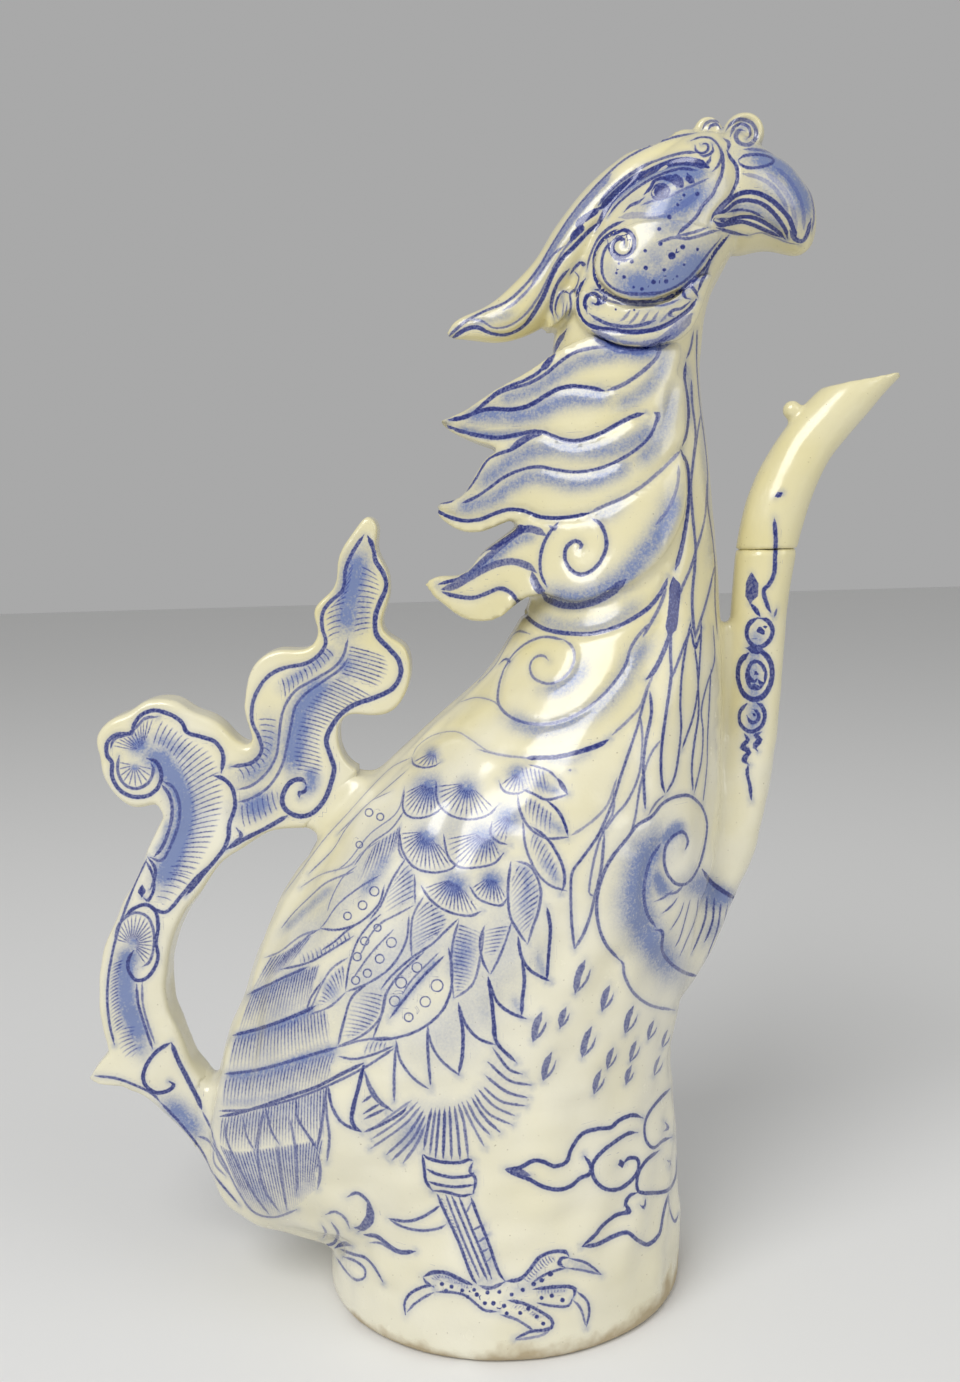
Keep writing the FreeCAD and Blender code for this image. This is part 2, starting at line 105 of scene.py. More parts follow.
# Shader maths on sockets
def mathsNode(tree, operation, values, clamp=False):
    maths = tree.nodes.new("ShaderNodeMath")
    maths.operation = operation
    maths.use_clamp = clamp
    for socket, value in zip(maths.inputs, values):
        if isinstance(value, Sum):
            tree.links.new(value.socket, socket)
        else:
            socket.default_value = value
    return Sum(tree, maths.outputs[0])


class Sum:
    def __init__(self, tree, socket):
        self.tree = tree
        self.socket = socket

    def step(self, operation, *others, clamp=False):
        return mathsNode(self.tree, operation, (self,) + others, clamp)

    def __add__(self, other):
        return self.step("ADD", other)

    def __mul__(self, other):
        return self.step("MULTIPLY", other)

    def __sub__(self, other):
        return self.step("SUBTRACT", other)

    def __rsub__(self, other):
        return mathsNode(self.tree, "SUBTRACT", (other, self))

    def __truediv__(self, other):
        return self.step("DIVIDE", other)

    def __abs__(self):
        return self.step("ABSOLUTE")

    __radd__ = __add__
    __rmul__ = __mul__

    def clamped(self):
        return self.step("ADD", 0, clamp=True)

    def larger(self, other):
        return self.step("MAXIMUM", other)


class Finish:
    def __init__(self, name):
        self.material = bpy.data.materials.new(name)
        self.material.use_nodes = True
        self.tree = self.material.node_tree
        self.tree.nodes.clear()
        self.output = self.node("ShaderNodeOutputMaterial")

    def feed(self, target, value):
        if isinstance(value, Sum):
            value = value.socket
        if isinstance(value, bpy.types.NodeSocket):
            self.tree.links.new(value, target)
        else:
            target.default_value = value

    def node(self, kind, settings=None, **sockets):
        made = self.tree.nodes.new(kind)
        for key, value in (settings or {}).items():
            setattr(made, key, value)
        for key, value in sockets.items():
            self.feed(made.inputs[key.replace("_", " ")], value)
        return made

    def value(self, socket):
        return Sum(self.tree, socket)

    def split(self, vector):
        parts = self.node("ShaderNodeSeparateXYZ", Vector=vector)
        return [self.value(socket) for socket in parts.outputs]

    def place(self):
        return self.node("ShaderNodeTexCoord").outputs["Object"]

    def noise(self, scale, detail=3, roughness=0.5):
        made = self.node("ShaderNodeTexNoise", Vector=self.place(), Scale=scale, Detail=detail,
                         Roughness=roughness)
        return self.value(made.outputs[0])

    def attribute(self, name, output="Vector"):
        return self.node("ShaderNodeAttribute", {"attribute_name": name}).outputs[output]

    def blend(self, factor, low, high):
        # The mix node's colour sockets share their names with others, so they go by number
        made = self.node("ShaderNodeMix", {"data_type": "RGBA"})
        for place, value in ((0, factor), (6, low), (7, high)):
            self.feed(made.inputs[place], value)
        return made.outputs[2]

    def shade(self, **sockets):
        shader = self.node("ShaderNodeBsdfPrincipled", **sockets)
        self.tree.links.new(shader.outputs[0], self.output.inputs[0])


# Clay skins: the fired pieces joined as one clay, with softened edges
clayLumps = {
    "seed": 5, "waves": 26,
    "size": 0.0002, "calming": (0.10, 0.15), "calm": 0.25,
    "settled": 0.012,  # above the resting face, where the swells reach full size
    "longest": 0.018, "shortest": 0.006, "crowding": 1.6,
}
softening = 0.5
mergeGap = 0.000001
rayLift = 0.0003
crumbSize = 80  # points


def lumps(places):
    # Short, shallow swells of hand-pressed clay, calmer on the neck and head
    chance = np.random.default_rng(clayLumps["seed"])
    swell = np.zeros(len(places))
    for wave in range(clayLumps["waves"]):
        course = chance.normal(size=3)
        course /= np.linalg.norm(course)
        length = chance.uniform(clayLumps["shortest"], clayLumps["longest"])
        start = chance.uniform(0, 2 * math.pi)
        swell += np.sin(places @ course * (2 * math.pi / length) + start) * length
    height = places[:, 2]
    settled = (height / clayLumps["settled"]).clip(0, 1)
    low, high = clayLumps["calming"]
    calm = 1 - (1 - clayLumps["calm"]) * ((height - low) / (high - low)).clip(0, 1)
    scale = clayLumps["longest"] * clayLumps["crowding"]
    return swell * settled * calm * clayLumps["size"] / scale


def pointValues(mesh, key):
    values = np.empty(len(mesh.vertices) * 3, np.float32)
    mesh.vertices.foreach_get(key, values)
    return values.reshape(-1, 3)


def movePoints(mesh, places):
    mesh.vertices.foreach_set("co", places.astype(np.float32).ravel())
    mesh.update()


def shiftAlongNormals(mesh, shift):
    place, normal = pointValues(mesh, "co"), pointValues(mesh, "normal")
    movePoints(mesh, place + normal * shift(place)[:, None])


def applied(piece):
    graph = bpy.context.evaluated_depsgraph_get()
    finished = bpy.data.meshes.new_from_object(piece.evaluated_get(graph))
    piece.modifiers.clear()
    piece.data = finished
    piece.vertex_groups.clear()


def skinTree(mesh):
    return BVHTree.FromPolygons([v.co for v in mesh.vertices], [p.vertices for p in mesh.polygons])


def innerWall(mesh):
    # From the inner wall a ray to either side meets the clay again
    tree = skinTree(mesh)
    inner = np.zeros(len(mesh.vertices), bool)
    for vertex in mesh.vertices:
        start = vertex.co + vertex.normal * rayLift
        inner[vertex.index] = all(tree.ray_cast(start, Vector((0, side, 0)))[0]
                                  for side in (1, -1))
    return inner


def thinned(piece, hidden, share):
    # The hidden points keep a share of their triangles
    group = piece.vertex_groups.new(name="hidden")
    group.add([int(index) for index in np.nonzero(hidden)[0]], 1, "REPLACE")
    thin = piece.modifiers.new("thin", "DECIMATE")
    thin.vertex_group = "hidden"
    thin.ratio = 1 - (1 - share) * hidden.mean()
    applied(piece)


def smoothed(piece, rounds, group=""):
    soften = piece.modifiers.new("soften", "SMOOTH")
    soften.vertex_group = group
    soften.factor = softening
    soften.iterations = rounds
    applied(piece)


def dropCrumbs(mesh):
    # Loose bits left of edges too thin for the remesh go
    bm = bmesh.new()
    bm.from_mesh(mesh)
    waiting = set(bm.verts)
    crumbs = []
    while waiting:
        island = []
        reached = [waiting.pop()]
        while reached:
            vertex = reached.pop()
            island.append(vertex)
            for edge in vertex.link_edges:
                other = edge.other_vert(vertex)
                if other in waiting:
                    waiting.remove(other)
                    reached.append(other)
        if len(island) < crumbSize:
            crumbs += island
    print("crumbs", len(crumbs))
    bmesh.ops.delete(bm, geom=crumbs, context="VERTS")
    bm.to_mesh(mesh)
    bm.free()


def nodeSurface(nodes):
    # One search tree over the outside of some CAD nodes
    bm = bmesh.new()
    for node in nodes:
        bm.from_mesh(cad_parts[node].data)
    tree = BVHTree.FromBMesh(bm)
    bm.free()
    return tree


def blendJoints(piece, reach, inner):
    # Clay smoothed over outside where the joined nodes meet the ones that carry them
    carrier = nodeSurface(jointBlend["onto"])
    touching = []
    for node in jointBlend["joined"]:
        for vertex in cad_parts[node].data.vertices:
            if carrier.find_nearest(vertex.co, jointBlend["touch"])[0]:
                touching.append(vertex.co)
    seam = KDTree(len(touching))
    for place, spot in enumerate(touching):
        seam.insert(spot, place)
    seam.balance()
    group = piece.vertex_groups.new(name="joint")
    for vertex in piece.data.vertices:
        apart = seam.find(vertex.co)[2]
        if apart < reach and not inner[vertex.index]:
            group.add([vertex.index], 1 - apart / reach, "REPLACE")
    smoothed(piece, jointBlend["rounds"], "joint")
    return seam


def tuckedUnder(piece, seam):
    # The coarse skin sinks below the finer head and handle that cover it
    surface = nodeSurface(bodyClay["nodes"])

    def depth(places):
        sink = ((places[:, 2] - tuck["neckTop"]) / tuck["run"]).clip(0, 1) * tuck["headDepth"]
        for index in np.nonzero(places[:, 0] < tuck["handleFrom"])[0]:
            spot = Vector(places[index])
            if surface.find_nearest(spot, tuck["clear"])[0] is None:
                apart = seam.find(spot)[2] - tuck["bare"]
                sink[index] = max(0, min(apart / tuck["run"], 1)) * tuck["handleDepth"]
        return -sink
    shiftAlongNormals(piece.data, depth)


def coveredRoot(piece, seam, cover):
    # Next to the joint the handle's skin keeps below the body's
    skin = skinTree(cover.data)
    for vertex in piece.data.vertices:
        if seam.find(vertex.co)[2] < tuck["bare"]:
            spot, normal = skin.find_nearest(vertex.co)[:2]
            if (vertex.co - spot).dot(normal) > -tuck["headDepth"]:
                vertex.co = spot - normal * tuck["headDepth"]


def addPlug(bm):
    turn = Matrix.Rotation(math.radians(rootPlug["lean"]), 4, "Y")
    size = Matrix.Diagonal(rootPlug["radii"] + (1,))
    bmesh.ops.create_icosphere(bm, subdivisions=4, radius=1,
                               matrix=Matrix.Translation(rootPlug["place"]) @ turn @ size)


def claySkin(name, nodes, voxel, smoothing, slot, insideShare=None, lumpy=1,
             under=(), blendReach=0, cover=None):
    bm = bmesh.new()
    for node in list(nodes) + list(under):
        bm.from_mesh(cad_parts[node].data)
    bmesh.ops.remove_doubles(bm, verts=bm.verts, dist=mergeGap)
    if under:
        addPlug(bm)
    mesh = bpy.data.meshes.new(name)
    bm.to_mesh(mesh)
    bm.free()
    piece = bpy.data.objects.new(name, mesh)
    bpy.context.scene.collection.objects.link(piece)
    knit = piece.modifiers.new("knit", "REMESH")
    knit.mode = "VOXEL"
    knit.voxel_size = voxel
    smoothed(piece, smoothing)
    dropCrumbs(piece.data)
    inner = innerWall(piece.data) if insideShare else np.zeros(len(piece.data.vertices), bool)
    if blendReach:
        seam = blendJoints(piece, blendReach, inner)
    if under:
        tuckedUnder(piece, seam)
    side = np.where(inner, -1, 1)  # both faces of the wall swell the same way
    shiftAlongNormals(piece.data, lambda places: lumps(places) * side * lumpy)
    if cover:
        coveredRoot(piece, seam, cover)
    if insideShare:
        height = np.array([vertex.co.z for vertex in piece.data.vertices])
        thinned(piece, inner | (height > tuck["neckTop"] + 2 * tuck["run"]), insideShare)
    piece.data.polygons.foreach_set("use_smooth", [True] * len(piece.data.polygons))
    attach(piece, "root")
    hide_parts(*nodes)
    print(name, len(piece.data.polygons))
    return piece


sides = ("left", "right")
bodyClay = {
    "nodes": [part + "_" + side for part in ("body", "neck") for side in sides]
    + ["mane_lock_upper", "mane_lock_middle", "mane_lock_lower", "spout_lower", "spout_strip",
       "foot_ring", "foot_floor"],
    "under": ["head_left", "head_right", "handle_bridge", "handle_strap"],
    "voxel": 0.001, "smoothing": 5, "insideShare": 0.07, "blendReach": 0.009,
}
rootPlug = {  # closes the gap in the wall below the spout's root
    "place": (0.0427, 0, 0.0722), "lean": -47, "radii": (0.0095, 0.008, 0.004),
}
jointBlend = {
    "joined": ("handle_bridge", "handle_strap", "spout_lower"),
    "onto": ("body_left", "body_right"),
    "touch": 0.0005, "rounds": 30,
}
# How the body's coarse skin keeps clear of the finer skins over it
tuck = {
    "neckTop": 0.2165, "run": 0.003, "headDepth": 0.0003, "handleDepth": 0.0009,
    "handleFrom": -0.012, "clear": 0.0022, "bare": 0.004,
}
headClay = {
    "nodes": [part + "_" + side for part in ("head", "throat_collar", "cheek_lobe", "ear_tuft")
              for side in sides] + ["beak", "crest_lock", "crown_curl_front", "crown_curl_rear"],
    "voxel": 0.0006, "smoothing": 5,
}
tipClay = {"nodes": ["spout_upper", "spout_pellet"], "voxel": 0.0006, "smoothing": 4}
handleClay = {
    "nodes": ["handle_leaf", "handle_scroll", "handle_bridge", "handle_strap", "handle_spur"],
    "voxel": 0.0006, "smoothing": 9, "lumpy": 0.7, "blendReach": 0.006,
}

glazeSlot = "blue_white_glaze"
body = claySkin("bodyManeAndSpout", slot=glazeSlot, **bodyClay)
head = claySkin("headAndCrest", slot=glazeSlot, **headClay)
tip = claySkin("spoutTip", slot="cream_glaze", **tipClay)
handle = claySkin("tailHandle", slot=glazeSlot, cover=body, **handleClay)
print("clay skins made")


# Lengths on the clay and in the brushwork are in millimetres from here on
toMetres = 0.001
curveSteps = 6
tiny = 1e-9


def smoothRoute(points):
    # A smooth curve through the points, as a polyline
    padded = np.vstack([2 * points[0] - points[1], points, 2 * points[-1] - points[-2]])
    before, here, after, beyond = padded[:-3], padded[1:-2], padded[2:-1], padded[3:]
    run = []
    for step in range(curveSteps):
        t = step / curveSteps
        run.append(0.5 * (2 * here + (after - before) * t
                          + (2 * before - 5 * here + 4 * after - beyond) * t ** 2
                          + (3 * here - before - 3 * after + beyond) * t ** 3))
    return np.vstack([np.stack(run, 1).reshape(-1, 2), points[-1]])


def evenPoints(points, count):
    # Points evenly spaced along a smooth curve
    route = smoothRoute(points)
    gone = np.r_[0, np.cumsum(np.hypot(*np.diff(route, axis=0).T))]
    marks = np.linspace(0, gone[-1], count)
    return np.stack([np.interp(marks, gone, route[:, axis]) for axis in (0, 1)], 1)


class Layers:
    # Vector attributes that share a piece's skin, so that no two marks meet in one of them
    def __init__(self, name, count, blank, most):
        self.name = name
        self.blank = np.tile(np.array(blank, np.float32), (count, 1))
        self.most = most
        self.sheets = []
        self.taken = []
        self.leftOut = 0

    def lay(self, zone, values):
        for sheet, taken in zip(self.sheets, self.taken):
            if not taken[zone].any():
                break
        else:
            if len(self.sheets) == self.most:
                self.leftOut += 1
                return
            sheet = self.blank.copy()
            taken = np.zeros(len(sheet), bool)
            self.sheets.append(sheet)
            self.taken.append(taken)
        sheet[zone] = values
        taken[zone] = True

    def store(self, mesh):
        spare = [self.blank] * (self.most - len(self.sheets))
        for place, sheet in enumerate(self.sheets + spare):
            kept = mesh.attributes.new(self.name + str(place), "FLOAT_VECTOR", "POINT")
            kept.data.foreach_set("vector", sheet.ravel())


class Canvas:
    # A piece's points as the photograph sees them. The far side gets the mirror image.
    def __init__(self, piece, spacing):
        self.mesh = piece.data
        self.guard = brush["guard"] * spacing
        self.trust = brush["trust"] * spacing
        self.count = len(self.mesh.vertices)
        self.shade = np.zeros(self.count)
        self.look()

    def look(self):
        self.place = pointValues(self.mesh, "co").astype(float)
        self.normal = pointValues(self.mesh, "normal").astype(float)
        side = np.where(self.place[:, 1] > 0, -1.0, 1.0)
        near, self.faced = self.place.copy(), self.normal.copy()
        near[:, 1] *= side
        self.faced[:, 1] *= side
        self.spot, depth = photoPlaces(near)
        self.scale = depth / camera["focal"] / toMetres
        sight = near - np.array(camera["place"])
        sight /= np.linalg.norm(sight, axis=1)[:, None]
        self.seen = (self.faced * sight).sum(1) < brush["grazing"]

    def near(self, route, margin):
        low = route.min(0) - margin
        high = route.max(0) + margin
        inside = (self.spot > low).all(1) & (self.spot < high).all(1) & self.seen
        return np.nonzero(inside)[0]

    def darken(self, which, tint):
        self.shade[which] = np.maximum(self.shade[which], tint)

    def stretch(self, which, across):
        # How much longer a step across the picture is on the tilted clay
        right, up = (np.array(axis) for axis in cameraAxes()[:2])
        step = across[:, :1] * right - across[:, 1:] * up
        tilt = (step * self.faced[which]).sum(1)
        return 1 / np.sqrt(np.maximum(1 - tilt ** 2, brush["flattest"]))

    def measure(self, route, reach):
        # Distance aside, way along and way past the ends, in millimetres, near a route
        which = self.near(route, reach * brush["pixels"])
        spot = self.spot[which]
        start, span = route[:-1], np.diff(route, axis=0)
        long = np.hypot(*span.T) + tiny
        away = spot[:, None] - start[None]
        raw = (away * span).sum(2) / long ** 2
        share = raw.clip(0, 1)
        gap = away - share[..., None] * span
        apart = np.hypot(gap[..., 0], gap[..., 1])
        best = apart.argmin(1)
        rows = np.arange(len(which))
        scale = self.scale[which]
        gone = np.r_[0, np.cumsum(long)]
        along = (gone[best] + share[rows, best] * long[best]) * scale
        early = np.where(best == 0, -raw[rows, best] * long[0], 0)
        late = np.where(best == len(long) - 1, (raw[rows, best] - 1) * long[-1], 0)
        past = np.maximum(np.maximum(early, late), 0) * scale
        turn = span[best, 0] * away[rows, best, 1] - span[best, 1] * away[rows, best, 0]
        tip = past > 0
        aside = np.where(tip, turn / long[best], np.sign(turn) * apart[rows, best])
        sideways = np.stack([-span[best, 1], span[best, 0]], 1)
        lean = np.where(tip[:, None], sideways, gap[rows, best])
        lean = lean / (np.hypot(*lean.T)[:, None] + tiny)
        aside = aside * scale * self.stretch(which, lean)
        return which, aside, along, past, gone[-1] * scale

    def line(self, layers, route, width, strength):
        which, aside, along, past, whole = self.measure(route, width + self.guard + 1)
        if not len(which):
            return
        halo = brush["halo"] * strength * np.exp(-((aside ** 2 + past ** 2)
                                                   / (brush["haloWidth"] / 2) ** 2))
        pool = brush["pool"] * strength * np.exp(-((aside ** 2 + (whole - along) ** 2 + past ** 2)
                                                   / brush["poolWidth"] ** 2))
        self.darken(which, np.maximum(halo, pool))
        taper = np.minimum(brush["taper"], whole * brush["thinEnd"])
        ends = (np.minimum(along, whole - along) / taper).clip(brush["thinEnd"], 1)
        half = width / 2 * ends - past
        zone = (abs(aside) < width / 2 + self.guard) & (past < brush["pastEnd"])
        half = np.where(abs(aside) < width / 2 + self.trust, half.clip(-1, None), -1)
        values = np.stack([aside, half, np.full(len(which), strength)], 1)
        layers.lay(which[zone], values[zone])

    def hatch(self, layers, tops, feet, bend, fade):
        # Ribs between two rows of points: which rib, how far inside the patch, and rib spacing
        which = self.near(np.vstack([tops, feet]), brush["hatchMargin"])
        if not len(which):
            return
        spot, scale = self.spot[which], self.scale[which]
        ribs = feet - tops
        long = np.hypot(*ribs.T)
        away = spot[:, None] - tops[None]
        aside = (ribs[:, 0] * away[..., 1] - ribs[:, 1] * away[..., 0]) / long
        down = (away * ribs).sum(2) / long ** 2
        sense = np.sign(np.median(aside[:, 0] - aside[:, -1])) or 1
        aside = aside * sense
        within = abs(down[:, :-1] - 0.5) < brush["ribReach"]
        turns = (aside[:, :-1] >= 0) & (aside[:, 1:] < 0) & within
        first = turns.argmax(1)
        rows = np.arange(len(which))
        left, right = aside[rows, first], aside[rows, first + 1]
        pitch = np.maximum(left - right, brush["leastPitch"])
        part = left / pitch
        fall = down[rows, first] * (1 - part) + down[rows, first + 1] * part
        phase = first + part + bend * fall * (1 - fall)
        rib = long[first] * (1 - part) + long[first + 1] * part
        inside = np.minimum(np.minimum(fall, 1 - fall) * rib,
                            np.minimum(first + part, len(tops) - 1 - first - part) * pitch)
        inside = np.minimum(inside * scale, fade * (1 - fall))
        inside = np.where(turns.any(1), inside, -1)
        zone = inside > brush["hatchEdge"]
        values = np.stack([phase, inside, pitch * scale], 1)
        layers.lay(which[zone], values[zone])
        self.darken(which, brush["hatchTint"] * (inside / fade).clip(0, 1))

    def around(self, centre, margin):
        which = self.near(centre[None], margin)
        return which, (self.spot[which] - centre) * self.scale[which][:, None]

    def bloom(self, centre, reach):
        # Colour gathered round a point
        which, gap = self.around(centre, reach * brush["pixels"] * 2)
        self.darken(which, brush["bloom"] * np.exp(-(gap ** 2).sum(1) / reach ** 2))

    def dab(self, layers, centre, radius):
        # A ring round a centre, or a full dot where the radius is below zero
        which, gap = self.around(centre, brush["dabMargin"])
        if not len(which):
            return
        size = radius * self.scale[which].mean()
        zone = np.hypot(*gap.T) < abs(size) + self.trust
        values = np.column_stack([gap, np.full(len(which), size)])
        layers.lay(which[zone], values[zone])

    def wash(self, route, width, strength):
        which, aside, along, past, whole = self.measure(route, width * brush["washReach"])
        soft = np.exp(-(aside / width * brush["washSide"]) ** 2)
        soft = soft * np.exp(-(past / width * brush["washPast"]) ** 2)
        ends = (np.minimum(along, whole - along) / width + brush["washStart"]).clip(0, 1)
        self.darken(which, strength * soft * ends)

    def carve(self, carving):
        # Grooves, or ridges where the depth is below zero
        sink = np.zeros(self.count)
        for route, width, depth in carving:
            which, aside, along, past, whole = self.measure(route, width * 2)
            dip = depth * np.exp(-(aside / width * brush["grooveSide"]) ** 2
                                 - (past / width * brush["groovePast"]) ** 2)
            deeper = abs(dip) > abs(sink[which])
            sink[which] = np.where(deeper, dip, sink[which])
        movePoints(self.mesh, self.place - self.normal * (sink * toMetres)[:, None])
        self.look()


brush = {
    "grazing": -0.04, "flattest": 0.06,
    "pixels": 6.0,  # reach in pixels for each millimetre looked at
    "guard": 1.9, "trust": 1.3,  # reach past a line's edge, in voxels
    "taper": 1.5, "thinEnd": 0.3, "pastEnd": 1.5,
    "lineLayers": 9, "hatchLayers": 3, "dabLayers": 4,
    "halo": 0.26, "haloWidth": 2.0, "pool": 0.5, "poolWidth": 0.9,
    "hatchTint": 0.45, "hatchMargin": 4, "hatchEdge": -0.9, "hatchBend": 0.8,
    "ribReach": 0.75, "leastPitch": 0.000001,
    "fanFade": 3, "fanRibs": (0.16, 0.95), "fanEdge": (0.9, 0.8),  # edge: width, strength
    "bloom": 0.85, "bloomReach": 0.5, "bloomAt": 0.3,
    "dotGrowth": 1.05, "dabMargin": 10,
    "dropStrokes": (  # width and shape of two strokes that meet in the droplet's point
        (1.5, ((0.30, -1), (0.10, -0.55), (0, 0))),
        (0.6, ((0.46, -0.72), (0.32, -0.36), (0, 0))),
    ),
    "dropStrength": 0.75,
    "washReach": 1.5, "washSide": 1.9, "washPast": 2.2, "washStart": 0.35,
    "grooveSide": 1.7, "groovePast": 2,
}


def onPhoto(sheet, numbers):
    # A sheet's row of numbers as places in the photograph
    return np.array(sheet["corner"]) + np.reshape(numbers, (-1, 2)) / sheet["zoom"]


def threes(sheet, kind):
    # The centres and sizes of a sheet's dots, rings or droplets
    rows = np.reshape(sheet.get(kind, ()), (-1, 3))
    return zip(onPhoto(sheet, rows[:, :2]), rows)


def paintFan(canvas, sheet, lines, hatches, count, numbers):
    # Ribs from a focus to an arc, the arc itself, and colour gathered towards the focus
    places = onPhoto(sheet, numbers)
    focus, arc = places[0], places[1:]
    ends = evenPoints(arc, count)
    tops, feet = (focus + (ends - focus) * share for share in brush["fanRibs"])
    canvas.hatch(hatches, tops, feet, 0, brush["fanFade"])
    width, strength = brush["fanEdge"]
    canvas.line(lines, smoothRoute(arc), width * sheet["brush"], strength)
    rim = arc.mean(0)
    size = np.hypot(*(rim - focus)) * canvas.scale.mean()
    share = brush["bloomAt"]
    canvas.bloom(focus * (1 - share) + rim * share, size * brush["bloomReach"])


def grooves(sheet):
    for width, depth, *names in sheet.get("carving", ()):
        for name in names:
            numbers = {**sheet.get("washes", {}), **sheet["lines"]}[name][2:]
            yield smoothRoute(onPhoto(sheet, numbers)), width, depth


def paint(piece, voxel, sheets):
    canvas = Canvas(piece, voxel / toMetres)
    carving = [groove for sheet in sheets for groove in grooves(sheet)]
    if carving:
        canvas.carve(carving)
    lines = Layers("line", canvas.count, (5, -1, 0), brush["lineLayers"])
    hatches = Layers("hatch", canvas.count, (0, -1, 1), brush["hatchLayers"])
    dabs = Layers("dab", canvas.count, (9, 9, 1), brush["dabLayers"])
    for sheet in sheets:
        for width, strength, *numbers in sheet["lines"].values():
            route = smoothRoute(onPhoto(sheet, numbers))
            canvas.line(lines, route, width * sheet["brush"], strength)
        for centre, row in threes(sheet, "dots"):
            canvas.dab(dabs, centre, -row[2] * brush["dotGrowth"])
        for centre, row in threes(sheet, "droplets"):
            for width, shape in brush["dropStrokes"]:
                route = smoothRoute(onPhoto(sheet, row[:2] + row[2] * np.array(shape)))
                canvas.line(lines, route, width, brush["dropStrength"])
        for centre, row in threes(sheet, "rings"):
            canvas.dab(dabs, centre, row[2] / sheet["zoom"])
        for count, *numbers in sheet.get("fans", {}).values():
            paintFan(canvas, sheet, lines, hatches, count, numbers)
        for count, top, foot in sheet.get("hatches", {}).values():
            tops, feet = (evenPoints(onPhoto(sheet, edge), count) for edge in (top, foot))
            canvas.hatch(hatches, tops, feet, brush["hatchBend"], sheet["fade"])
        for width, strength, *numbers in sheet.get("washes", {}).values():
            canvas.wash(smoothRoute(onPhoto(sheet, numbers)), width, strength)
    for layers in (lines, hatches, dabs):
        layers.store(canvas.mesh)
    kept = canvas.mesh.attributes.new("wash", "FLOAT", "POINT")
    kept.data.foreach_set("value", canvas.shade.astype(np.float32))
    print("painted", piece.name, len(lines.sheets), "left out", lines.leftOut)


